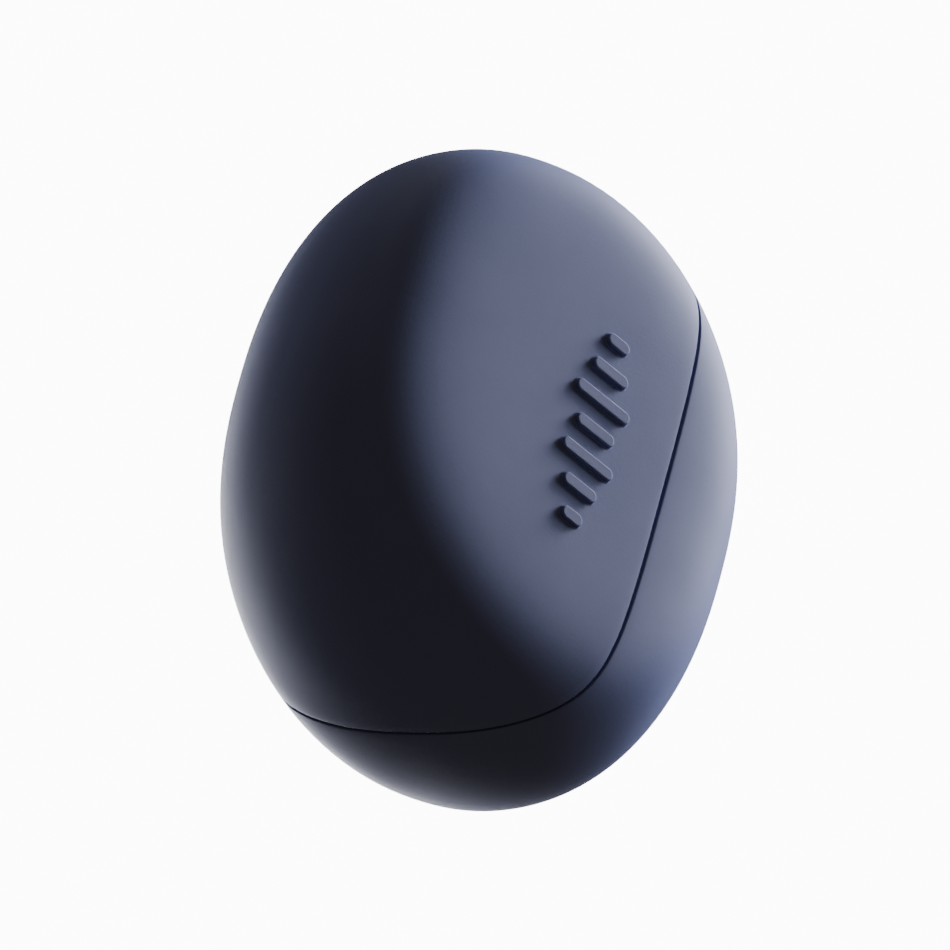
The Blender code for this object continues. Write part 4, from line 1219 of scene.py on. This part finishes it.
@dataclass
class Liners:
    """The cradle with its two wells, and the lid's lining, both fitted to the shells' hollow."""

    pebble: Pebble
    hinge: HingeLine
    deck_drop: float = 0.4 * MM
    deck_thickness: float = 1.4 * MM
    saddle_wall: float = 1.1 * MM
    cup_wall: float = 1.0 * MM
    well_x: float = 13.6 * MM
    well_y: float = -0.3 * MM
    well_radii: tuple[float, float, float] = (8.4 * MM, 9.0 * MM, 6.5 * MM)
    well_floor: float = -11.5 * MM
    nozzle_x: float = 11.1 * MM
    nozzle_y: float = 2.5 * MM
    nozzle_radius: float = 4.5 * MM
    nozzle_floor: float = -15.2 * MM
    button_along: float = 3.2 * MM
    button_hole: float = 2.8 * MM
    light_along: float = -3.0 * MM
    light_hole: float = 0.85 * MM
    block_room: tuple[float, float] = (6.5 * MM, 3.1 * MM)
    lining_rim: float = 1.4 * MM
    lining_outside: float = 5.3 * MM
    lining_depth: float = 6.5 * MM
    boss_radius: float = 1.3 * MM
    boss_length: float = 5.0 * MM
    arm_room_below: float = 4.0 * MM
    arm_room_behind: float = 2.0 * MM
    block_room_height: float = 2.5 * MM
    cup_top: float = 20.0 * MM
    beyond: float = 6.0 * MM
    turns: int = 288
    rows: int = 48
    cup_turns: int = 128
    cup_rows: int = 33
    edge: float = 0.3 * MM
    lining_edge: float = 0.25 * MM
    block_room_edge: float = 0.2 * MM
    arm_room_edge: float = 0.1 * MM

    def outline(self, level: float, inset: float, keep: Callable[[Array], Array]) -> Array:
        """The form's outline at one level.

        Args:
            level: height over the seam.
            inset: how much every radius is shortened.
            keep: a further test for points inside.

        Returns:
            Seam-frame points round the form.
        """
        turns = np.arange(self.turns) / self.turns * 2.0 * math.pi
        ways = np.stack([np.cos(turns), np.sin(turns), np.zeros(self.turns)], -1)
        start = np.array([0.0, 0.0, level])
        return start + ways * self.pebble.reach(start, ways, inset, keep)[:, None]

    def plate(
        self, name: str, under: float, top: float, keep: Callable[[Array], Array]
    ) -> bpy.types.Object:
        """A plate that fits the hollow.

        Args:
            name: the object's name.
            under: the level of its underside.
            top: the level of its top.
            keep: a further test for points inside.

        Returns:
            The closed plate.
        """
        inset = self.pebble.wall + self.pebble.fit
        low, high = (self.outline(level, inset, keep) for level in (under, top))
        middles = [np.tile([[0.0, 0.0, level]], (self.turns, 1)) for level in (under, top)]
        shape = bmesh.new()
        add_rings(shape, self.pebble.to_row(np.array([middles[0], low, high, middles[1]])))
        return solid(name, shape)

    def core(self, name: str, inset: float, level: float) -> bpy.types.Object:
        """The form above a level along the seam.

        Args:
            name: the object's name.
            inset: how much every radius is shortened; less than 0 for a cutter round the form.
            level: height over the seam.

        Returns:
            The closed dome.
        """
        turns = np.arange(self.turns) / self.turns * 2.0 * math.pi
        start = np.array([0.0, 0.0, level])
        lifts = np.linspace(0.0, QUARTER, self.rows)
        flat = np.cos(lifts)[:, None]
        ways = np.stack([
            flat * np.cos(turns), flat * np.sin(turns),
            np.tile(np.sin(lifts)[:, None], (1, self.turns))], -1)
        rings = start + ways * self.pebble.reach(start, ways, inset)[..., None]
        closed = np.concatenate([np.tile(start, (1, self.turns, 1)), rings])
        shape = bmesh.new()
        add_rings(shape, self.pebble.to_row(closed))
        return solid(name, shape)

    def cup(
        self, name: str, radii: Sequence[float], x: float, y: float, floor: float
    ) -> bpy.types.Object:
        """An upright cup: an ellipsoid's lower half under straight sides.

        Args:
            name: the object's name.
            radii: the ellipsoid's three radii.
            x: its middle, across from the form's centre.
            y: its middle, in depth from the form's centre.
            floor: its lowest point, in height from the form's centre.

        Returns:
            The closed cup.
        """
        turns = np.arange(self.cup_turns) / self.cup_turns * 2.0 * math.pi
        lifts = np.linspace(-QUARTER, 0.0, self.cup_rows)
        flat = np.cos(lifts)[:, None]
        rings = np.stack([
            radii[0] * flat * np.cos(turns), radii[1] * flat * np.sin(turns),
            np.tile(radii[2] * np.sin(lifts)[:, None], (1, len(turns)))], -1)
        tall = rings[-1] + np.array([0.0, 0.0, self.cup_top])
        middle = np.tile([[0.0, 0.0, self.cup_top]], (len(turns), 1))
        rings = np.concatenate([rings, [tall], [middle]])
        shape = bmesh.new()
        place = self.pebble.centre + np.array([x, y, floor + radii[2]])
        add_rings(shape, rings + place)
        return solid(name, shape)

    def cups(self, grow: float) -> list[bpy.types.Object]:
        """The wells' and nozzles' cups.

        Args:
            grow: how much every radius is lengthened.

        Returns:
            Two cups for each side.
        """
        made = []
        for side in (-1, 1):
            well = [radius + grow for radius in self.well_radii]
            made.append(self.cup(
                "well_cup", well, side * self.well_x, self.well_y, self.well_floor - grow))
            nozzle = [self.nozzle_radius + grow] * 3
            made.append(self.cup(
                "nozzle_cup", nozzle, side * self.nozzle_x, self.nozzle_y,
                self.nozzle_floor - grow))
        return made

    def rod(
        self, name: str, radius: float, local: Sequence[float], length: float, axis: Array
    ) -> bpy.types.Object:
        """A round cutter or boss.

        Args:
            name: the object's name.
            radius: its radius.
            local: its middle, in the seam's frame.
            length: its length.
            axis: its direction in the row.

        Returns:
            The closed rod.
        """
        start = self.pebble.to_row(np.array(local)) - axis * length / 2.0
        profile = [(0.0, 0.0), (radius, 0.0), (radius, length), (0.0, length)]
        return turned(name, profile, start, axis, 64)

    def cradle(self) -> None:
        """The deck, with its wells, its holes and the room round the hinge."""
        fit = self.pebble.fit
        bead_room = self.hinge.clear_of_barrel(self.hinge.bead + fit, self.hinge.bead_half + fit)
        saddle_room = self.hinge.clear_of_barrel(
            self.hinge.relief + self.saddle_wall + fit,
            self.hinge.slot_half + self.saddle_wall + fit)
        top = -self.pebble.seam_gap / 2.0 - self.deck_drop
        under = top - self.deck_thickness

        def keep(local: Array) -> Array:
            """Whether seam-frame points are clear of the hinge."""
            return bead_room(local) & saddle_room(local)

        first, *others = self.cups(self.cup_wall)
        for cup in others:
            carve(first, cup, "UNION")
        carve(first, self.core("above_deck", -self.beyond, (top + under) / 2.0))
        carve(first, self.plate("deck", under, top, keep), "UNION")
        for cup in self.cups(0.0):
            carve(first, cup)
        up = self.pebble.slope[:, 2]
        for radius, along in (
            (self.button_hole, self.button_along), (self.light_hole, self.light_along)
        ):
            place = (0.0, along, (top + under) / 2.0)
            carve(first, self.rod("deck_hole", radius, place, 4.0 * self.deck_thickness, up))
        for side in ("left", "right"):
            low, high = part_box(f"contact_block_{side}")
            middle = (low + high) / 2.0
            half = Vector((self.block_room[0], self.block_room[1], 0.0)) / 2.0
            floor = self.pebble.centre[2] + self.well_floor
            low = Vector((middle.x, middle.y, floor - 4.0 * self.cup_wall)) - half
            high = Vector((middle.x, middle.y, floor + self.block_room_height)) + half
            carve(first, rounded_block("contact_room", low, high, self.block_room_edge))
        piece = Softened(radius=self.edge).apply("cradle_finished", first.data)
        bpy.data.objects.remove(first, do_unlink=True)
        dress(piece, SATIN_ABS, Body.BASE, "cradle")

    def lining(self) -> None:
        """The lid's lining: a rim plate and a dome, with room for the hinge's arm."""
        fit = self.pebble.fit
        relief = self.hinge.clear_of_barrel(
            self.hinge.relief + fit, self.hinge.bead_half + 2.0 * fit)
        under = self.pebble.seam_gap / 2.0 + self.deck_drop
        lining = self.plate("lining", under, under + self.lining_rim, relief)
        carve(lining, self.core("dome", self.lining_outside, under + self.lining_rim / 2.0),
              "UNION")
        back = np.array([0.0, 1.0, 0.0])
        arm_low, arm_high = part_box("hinge_arm")
        for side in ("left", "right"):
            low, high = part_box(f"hinge_screw_{side}")
            middle = (low + high) / 2.0
            length = self.boss_length
            centre = (middle.x, arm_low.y - fit / 2.0 - length / 2.0, middle.z)
            local = self.pebble.to_seam(np.array(centre))
            carve(lining, self.rod("boss", self.boss_radius, local, length, back), "UNION")
        carve(lining, self.core("hollow", self.lining_depth, under - self.lining_rim))
        low = Vector((-arm_high.x - fit, arm_low.y - fit / 2.0, arm_low.z - self.arm_room_below))
        high = Vector((arm_high.x + fit, arm_high.y + self.arm_room_behind, arm_high.z + fit))
        carve(lining, rounded_block("arm_room", low, high, self.arm_room_edge))
        piece = Softened(radius=self.lining_edge).apply("lid_lining_finished", lining.data)
        bpy.data.objects.remove(lining, do_unlink=True)
        dress(piece, SATIN_ABS, Body.LID, "lid_lining")

    def build(self) -> None:
        """Build the cradle and the lining."""
        self.cradle()
        self.lining()


@dataclass
class Inside:
    """The contact blocks and the small turned pieces on the deck, sizes in millimetres."""

    pebble: Pebble
    button_flange: tuple[tuple[float, float], ...] = (
        (0.0, 0.0), (2.95, 0.0), (3.1, 0.12), (3.1, 0.38), (2.95, 0.5), (2.5, 0.5),
    )
    button_radius: float = 2.5
    button_height: float = 2.0
    button_edge: float = 0.28
    dish_radius: float = 2.1
    dish: float = 0.16
    pipe_radius: float = 0.7
    pipe_height: float = 2.9
    pipe_edge: float = 0.15
    pipe_chamfer: float = 0.08
    bumper_radius: float = 1.0
    bumper_side: float = 0.35
    bumper_dome: float = 0.4
    pin_radius: float = 0.45
    pin_foot: tuple[float, float] = (0.3, 0.12)
    pin_groove: tuple[tuple[float, float], ...] = (
        (0.45, 2.2), (0.38, 2.27), (0.38, 2.36), (0.45, 2.43),
    )
    pin_shoulder: float = 3.0
    tip: float = 0.4
    block_edge: float = 0.1
    steps: int = 8

    def turned_piece(
        self, node: str, profile: list[tuple[float, float]], finish: Finish, body: Body | str,
        axis: Array,
    ) -> bpy.types.Object:
        """A turned piece in a node's place.

        Args:
            node: the node it stands for.
            profile: radius and height in millimetres.
            finish: its finish.
            body: the body it rides on.
            axis: the direction from its foot to its top.

        Returns:
            The finished piece.
        """
        place, _ = seat(node, axis)
        scaled = [(max(radius, 0.0) * MM, height * MM) for radius, height in profile]
        return dress(turned(f"{node}_finished", scaled, place, axis), finish, body, node)

    def button(self) -> None:
        """The pairing button: a flange under the deck and a dished cap."""
        middle = (self.button_radius - self.button_edge, self.button_height - self.button_edge)
        edge = arc_points(middle, self.button_edge, 0.0, 90.0, 6)
        dish = [
            (self.dish_radius - along, self.button_height - down)
            for along, down in (
                (self.dish_radius * step / self.steps,
                 self.dish * math.sin(QUARTER * step / self.steps))
                for step in range(1, self.steps + 1)
            )
        ]
        axis = self.pebble.slope[:, 2]
        profile = [*self.button_flange, *edge, *dish]
        self.turned_piece("pairing_button", profile, BUTTON_ABS, Body.BUTTON, axis)

    def light(self) -> None:
        """The light pipe, with a softly rounded end."""
        radius, height, cut = self.pipe_radius, self.pipe_height, self.pipe_chamfer
        middle = (radius - self.pipe_edge, height - self.pipe_edge)
        end = arc_points(middle, self.pipe_edge, 0.0, 90.0, 5)
        profile = [(0.0, 0.0), (radius - cut, 0.0), (radius, cut), *end, (0.0, height)]
        axis = self.pebble.slope[:, 2]
        self.turned_piece("light_pipe", profile, FROSTED_ACRYLIC, Body.BASE, axis)

    def bumpers(self) -> None:
        """Two domed rubber bumpers that the lid closes on."""
        radius = self.bumper_radius
        top = dome(radius, self.bumper_side, self.bumper_dome, self.steps)
        profile = [(0.0, 0.0), (radius, 0.0), *top]
        axis = self.pebble.slope[:, 2]
        for side in ("left", "right"):
            self.turned_piece(f"deck_bumper_{side}", profile, SOFT_TPE, Body.BASE, axis)

    def pins(self) -> None:
        """Four gold contact pins with domed tips and a groove under them."""
        radius, (foot, chamfer) = self.pin_radius, self.pin_foot
        tip = dome(radius, self.pin_shoulder, self.tip, self.steps - 1)
        profile = [(0.0, 0.0), (foot, 0.0), (radius, chamfer), *self.pin_groove, *tip]
        for side in ("left", "right"):
            for place in ("inner", "outer"):
                node = f"contact_pin_{side}_{place}"
                self.turned_piece(node, profile, GOLD_PLATE, node, np.array([0.0, 0.0, 1.0]))

    def build(self) -> None:
        """Build the contact blocks and the pieces on the deck."""
        for side in ("left", "right"):
            softened = Softened(radius=self.block_edge * MM)
            softened.build(f"contact_block_{side}", BLACK_PBT, Body.BASE)
        self.button()
        self.light()
        self.bumpers()
        self.pins()


@dataclass
class Hinge:
    """The hinge's cast arm, its drawn pin and its two screws."""

    pin_radius: float = 0.6 * MM
    pin_chamfer: float = 0.12 * MM
    arm_edge: float = 0.12 * MM

    def build(self) -> None:
        """Build the arm, the pin and the screws."""
        Softened(radius=self.arm_edge).build("hinge_arm", CAST_ZINC, Body.LID)
        axis = np.array([1.0, 0.0, 0.0])
        place, length = seat("hinge_pin", axis)
        radius, cut = self.pin_radius, self.pin_chamfer
        end = [(0.0, 0.0), (radius - cut, 0.0), (radius, cut)]
        profile = end + [(across, length - height) for across, height in reversed(end)]
        pin = turned("hinge_pin_finished", profile, place, axis)
        dress(pin, DRAWN_STEEL, Body.BASE, "hinge_pin")
        Screws().build("hinge_screws", ("hinge_screw_left", "hinge_screw_right"),
                       np.array([0.0, 1.0, 0.0]), Body.LID)


@dataclass
class Screws:
    """Pan-head screws with a cross recess, one tree for every pair."""

    head_radius: float = 1.1 * MM
    head_height: float = 0.6 * MM
    head_top: float = 0.82 * MM
    shank_radius: float = 0.6 * MM
    recess_width: float = 0.26 * MM
    recess_length: float = 1.1 * MM
    recess_depth: float = 0.35 * MM
    point_share: float = 0.35
    head_sides: int = 40
    shank_sides: int = 32
    corner: float = math.radians(35.0)

    def build(self, name: str, nodes: tuple[str, ...], way: Array, body: Body) -> bpy.types.Object:
        """Build the screws that stand for some nodes.

        Args:
            name: the piece's name.
            nodes: the frame's screws.
            way: the direction from tip to head.
            body: the body they ride on.

        Returns:
            One piece with every screw.
        """
        seats = [seat(node, way) for node in nodes]
        heads = np.array([place + way * length for place, length in seats])
        build = NodeBuild("pan_head_screws")
        for label, value in (
            ("Head Radius", self.head_radius), ("Head Height", self.head_height),
            ("Head Top", self.head_top), ("Shank Radius", self.shank_radius),
            ("Length", seats[0][1]), ("Recess Width", self.recess_width),
            ("Recess Length", self.recess_length), ("Recess Depth", self.recess_depth),
        ):
            build.size(label, value)
        head = build.add("GeometryNodeMeshCone", {
            "Vertices": self.head_sides, "Radius Top": build.given("Head Top"),
            "Radius Bottom": build.given("Head Radius"), "Depth": build.given("Head Height")})
        low = build.maths("MULTIPLY", build.given("Head Height"), -1.0)
        head = build.add("GeometryNodeTransform", {
            "Geometry": head, "Translation": build.add("ShaderNodeCombineXYZ", {2: low})})
        shank_length = build.maths("SUBTRACT", build.given("Length"), build.given("Head Height"))
        shank = build.add("GeometryNodeMeshCone", {
            "Vertices": self.shank_sides, "Radius Top": build.given("Shank Radius"),
            "Radius Bottom": build.maths("MULTIPLY", build.given("Shank Radius"), self.point_share),
            "Depth": shank_length})
        bottom = build.maths("MULTIPLY", build.given("Length"), -1.0)
        shank = build.add("GeometryNodeTransform", {
            "Geometry": shank, "Translation": build.add("ShaderNodeCombineXYZ", {2: bottom})})
        cutters = []
        deep = build.maths("MULTIPLY", build.given("Recess Depth"), 2.0)
        for across, along in (("Recess Width", "Recess Length"), ("Recess Length", "Recess Width")):
            size = build.add("ShaderNodeCombineXYZ", {
                0: build.given(across), 1: build.given(along), 2: deep})
            cutters.append(build.add("GeometryNodeMeshCube", {"Size": size}))
        cut = build.add("GeometryNodeMeshBoolean", {"Mesh 1": head}, operation="DIFFERENCE",
                        solver="EXACT")
        for cutter in cutters:
            build.tree.links.new(cutter.outputs[0], cut.inputs["Mesh 2"])
        whole = build.add("GeometryNodeJoinGeometry")
        for part in (cut, shank):
            build.tree.links.new(part.outputs[0], whole.inputs[0])
        turn = build.add("FunctionNodeAlignRotationToVector", {"Vector": build.add(
            "GeometryNodeInputNamedAttribute", {"Name": "way"}, data_type="FLOAT_VECTOR"
        )}, axis="Z")
        placed = build.add("GeometryNodeInstanceOnPoints", {
            "Points": build.given("Geometry"), "Instance": whole, "Rotation": turn})
        mesh = marks(name, heads, way=np.tile(way, (len(heads), 1)))
        piece = build.run(name, mesh, placed, DRAWN_STEEL)
        piece.data.set_sharp_from_angle(angle=self.corner)
        return dress(piece, DRAWN_STEEL, body, *nodes)


@dataclass
class Port:
    """The USB-C socket: a drawn shell with rolled lips, and a tongue with its contacts."""

    wall: float = 0.3 * MM
    rounding: float = 0.42
    contact_pitch: float = 0.5 * MM
    contact_count: int = 12
    contact_size: tuple[float, float, float] = (0.28 * MM, 3.2 * MM, 0.06 * MM)
    contact_setback: float = 0.5 * MM
    mouth_share: float = 0.86
    nose: float = 0.1 * MM
    nose_share: float = 0.3
    corner_steps: int = 8
    shell_corner: float = math.radians(40.0)
    strip_corner: float = math.radians(35.0)

    def rings(self, steps: list[tuple[float, float]], node: str) -> bpy.types.Object:
        """A loft of rounded rectangles about the node's middle.

        Args:
            steps: depth from the node's front and how much each outline grows.
            node: the node whose box sets the outline.

        Returns:
            The closed piece.
        """
        low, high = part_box(node)
        middle = (low + high) / 2.0
        width, height = high.x - low.x, high.z - low.z
        outlines = []
        for depth, grow in steps:
            tall = height + 2.0 * grow
            round_by = tall * self.rounding
            outline = lozenge(width + 2.0 * grow, tall, round_by, self.corner_steps)
            outlines.append((high.y - depth, outline))
        return loft(f"{node}_finished", outlines, middle, self.shell_corner)

    def shell(self) -> None:
        """The drawn shell, open to the back."""
        low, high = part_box("usb_socket")
        length = high.y - low.y
        half = self.wall / 2.0
        lip = [
            (half - half * math.sin(turn), -half + half * math.cos(turn))
            for turn in np.radians(np.arange(0.0, 181.0, 22.5))
        ]
        steps = [(length, -half), (length - half, 0.0), *lip]
        steps.append((length * self.mouth_share, -self.wall))
        dress(self.rings(steps, "usb_socket"), NICKEL_PLATE, Body.BASE, "usb_socket")

    def tongue(self) -> None:
        """The moulded tongue, with a bevelled nose."""
        low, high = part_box("usb_tongue")
        edge, part = self.nose, self.nose * self.nose_share
        steps = [(high.y - low.y, 0.0), (edge, 0.0), (part, -part), (0.0, -edge)]
        dress(self.rings(steps, "usb_tongue"), BLACK_PBT, Body.BASE, "usb_tongue")

    def contacts(self) -> None:
        """Gold strips along both faces of the tongue, repeated by one tree."""
        low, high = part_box("usb_tongue")
        middle = (low + high) / 2.0
        first = middle.x - (self.contact_count - 1) / 2.0 * self.contact_pitch
        depth = high.y - self.contact_setback - self.contact_size[1] / 2.0
        spots = [
            (first + index * self.contact_pitch, depth, z)
            for index in range(self.contact_count) for z in (low.z, high.z)
        ]
        build = NodeBuild("contact_strips")
        for label, value in zip(("Width", "Length", "Thickness"), self.contact_size):
            build.size(label, value)
        strip = build.add("GeometryNodeMeshCube", {"Size": build.add("ShaderNodeCombineXYZ", {
            0: build.given("Width"), 1: build.given("Length"), 2: build.given("Thickness")})})
        placed = build.add("GeometryNodeInstanceOnPoints", {
            "Points": build.given("Geometry"), "Instance": strip})
        piece = build.run("port_contacts", marks("port_contacts", spots), placed, GOLD_PLATE)
        piece.data.set_sharp_from_angle(angle=self.strip_corner)
        dress(piece, GOLD_PLATE, Body.BASE)

    def build(self) -> None:
        """Build the port."""
        self.shell()
        self.tongue()
        self.contacts()


# ---- studio -------------------------------------------------------------------------------------


@dataclass
class Studio:
    """A pale floor, plain soft lights and the camera."""

    pebble: Pebble
    right: Vector = field(default_factory=lambda: Vector((0.21458, -0.69334, -0.68792)))
    up: Vector = field(default_factory=lambda: Vector((0.78093, -0.30122, 0.54719)))
    toward: Vector = field(default_factory=lambda: Vector((-0.58661, -0.65463, 0.47682)))
    view_width: float = 93.54 * MM
    lens: float = 1000.0
    sensor: float = 36.0
    aim_right: float = -0.46 * MM
    aim_up: float = 0.50 * MM
    floor_size: float = 6.0
    floor_glow: float = 12.0
    floor_roughness: float = 0.9
    floor_colour: str = "F7F7F8"
    light_distance: float = 0.6
    fill: float = 0.11
    fill_colour: str = "FFE8C4"
    softboxes: tuple[tuple[str, tuple[float, float, float], float, float], ...] = (
        ("key_softbox", (0.66, 0.30, -0.69), 0.26, 9.4),
        ("side_softbox", (0.90, 0.16, -0.40), 0.22, 1.9),
        ("rim_softbox", (-0.36, -0.28, -0.89), 0.36, 9.5),
        ("top_softbox", (0.0, 0.87, -0.50), 0.30, 0.5),
        ("left_softbox", (-0.80, -0.10, -0.60), 0.30, 0.9),
    )

    def direction(self, right: float, up: float, toward: float) -> Vector:
        """A direction in the row, given along the camera's right, up and back."""
        return (self.right * right + self.up * up + self.toward * toward).normalized()

    def camera(self) -> None:
        """A long-lens camera at the viewing angle."""
        data = bpy.data.cameras.new("camera")
        data.lens, data.sensor_width = self.lens, self.sensor
        distance = self.view_width / self.sensor * self.lens
        data.clip_start, data.clip_end = distance * 0.1, distance * 10.0
        camera = bpy.data.objects.new("camera", data)
        bpy.context.scene.collection.objects.link(camera)
        aim = Vector(self.pebble.centre) + self.right * self.aim_right + self.up * self.aim_up
        turn = Matrix((self.right, self.up, self.toward)).transposed()
        camera.matrix_world = Matrix.Translation(aim + self.toward * distance) @ turn.to_4x4()
        bpy.context.scene.camera = camera

    def light(self, name: str, way: Vector, distance: float, size: float, power: float) -> None:
        """One square soft light that faces the case.

        Args:
            name: the light's name.
            way: the direction from the case to the light.
            distance: how far away it stands.
            size: its side.
            power: its power in watts.
        """
        data = bpy.data.lights.new(name, "AREA")
        data.shape = "SQUARE"
        data.size = size
        data.energy = power
        light = bpy.data.objects.new(name, data)
        bpy.context.scene.collection.objects.link(light)
        light.location = Vector(self.pebble.centre) + way * distance
        light.rotation_euler = way.to_track_quat("Z", "Y").to_euler()

    def lights(self) -> None:
        """A key and a side light behind to the right, a rim light behind to the lower left, fills.

        Each softbox has a direction along the camera's right, up and back, a side and a power. The
        key stands below the floor's level, which is why the floor casts no shadow.
        """
        for name, way, size, power in self.softboxes:
            self.light(name, self.direction(*way), self.light_distance, size, power)
        world = bpy.data.worlds.new("studio")
        world.use_nodes = True
        shade = world.node_tree.nodes["Background"]
        shade.inputs["Color"].default_value = linear(self.fill_colour)
        shade.inputs["Strength"].default_value = self.fill
        bpy.context.scene.world = world

    def floor(self) -> None:
        """A pale lit floor under the case, like a light table: it casts and bounces nothing."""
        shape = bmesh.new()
        bmesh.ops.create_grid(shape, x_segments=1, y_segments=1, size=self.floor_size / 2.0)
        floor = solid("studio_floor", shape)
        material = bpy.data.materials.new("floor_light_table_opal")
        material.use_nodes = True
        shader = material.node_tree.nodes["Principled BSDF"]
        shader.inputs["Base Color"].default_value = linear(self.floor_colour)
        shader.inputs["Roughness"].default_value = self.floor_roughness
        shader.inputs["Emission Color"].default_value = linear("FFFFFF")
        shader.inputs["Emission Strength"].default_value = self.floor_glow
        floor.data.materials.append(material)
        floor.visible_diffuse = False
        floor.visible_glossy = False
        floor.visible_shadow = False

    def build(self) -> None:
        """Set the camera, the lights and the floor."""
        self.camera()
        self.lights()
        self.floor()


def carried_over() -> None:
    """Give the frame's own nodes that stay in view their finishes."""
    finishes = {
        entry.slot: entry
        for entry in (
            SOFT_TOUCH, SATIN_ABS, BUTTON_ABS, CAST_ZINC, DRAWN_STEEL, NICKEL_PLATE, GOLD_PLATE,
            SOLDER_MASK, CHIP_EPOXY, SINTERED_FERRITE, NATURAL_NYLON, POUCH_FOIL, CELL_FOAM,
            RED_PVC, BLACK_PVC, POLYIMIDE_FILM, BLACK_PBT, FROSTED_ACRYLIC, SOFT_TPE,
        )
    }
    for part in frame["record"]["subparts"]:
        node = frame["nodes"][part["node"]]
        if node.hide_render:
            continue
        node.data.materials.clear()
        node.data.materials.append(finishes[part["material_slot"]].build())
        LOG.info("%s: carried over, %s", part["node"], finishes[part["material_slot"]].name)


def main() -> None:
    """Build every sub-assembly in order, then the studio."""
    logging.basicConfig(level=logging.INFO, format="%(name)s %(message)s")
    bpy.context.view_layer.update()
    pebble = Pebble()
    hinge = HingeLine(pebble)
    Shells(pebble, hinge).build()
    Liners(pebble, hinge).build()
    Inside(pebble).build()
    Hinge().build()
    Screws().build("deck_screws", ("deck_screw_front", "deck_screw_rear"), -pebble.slope[:, 2],
                   Body.BASE)
    Port().build()
    carried_over()
    Studio(pebble).build()


if __name__ == "__main__":
    main()
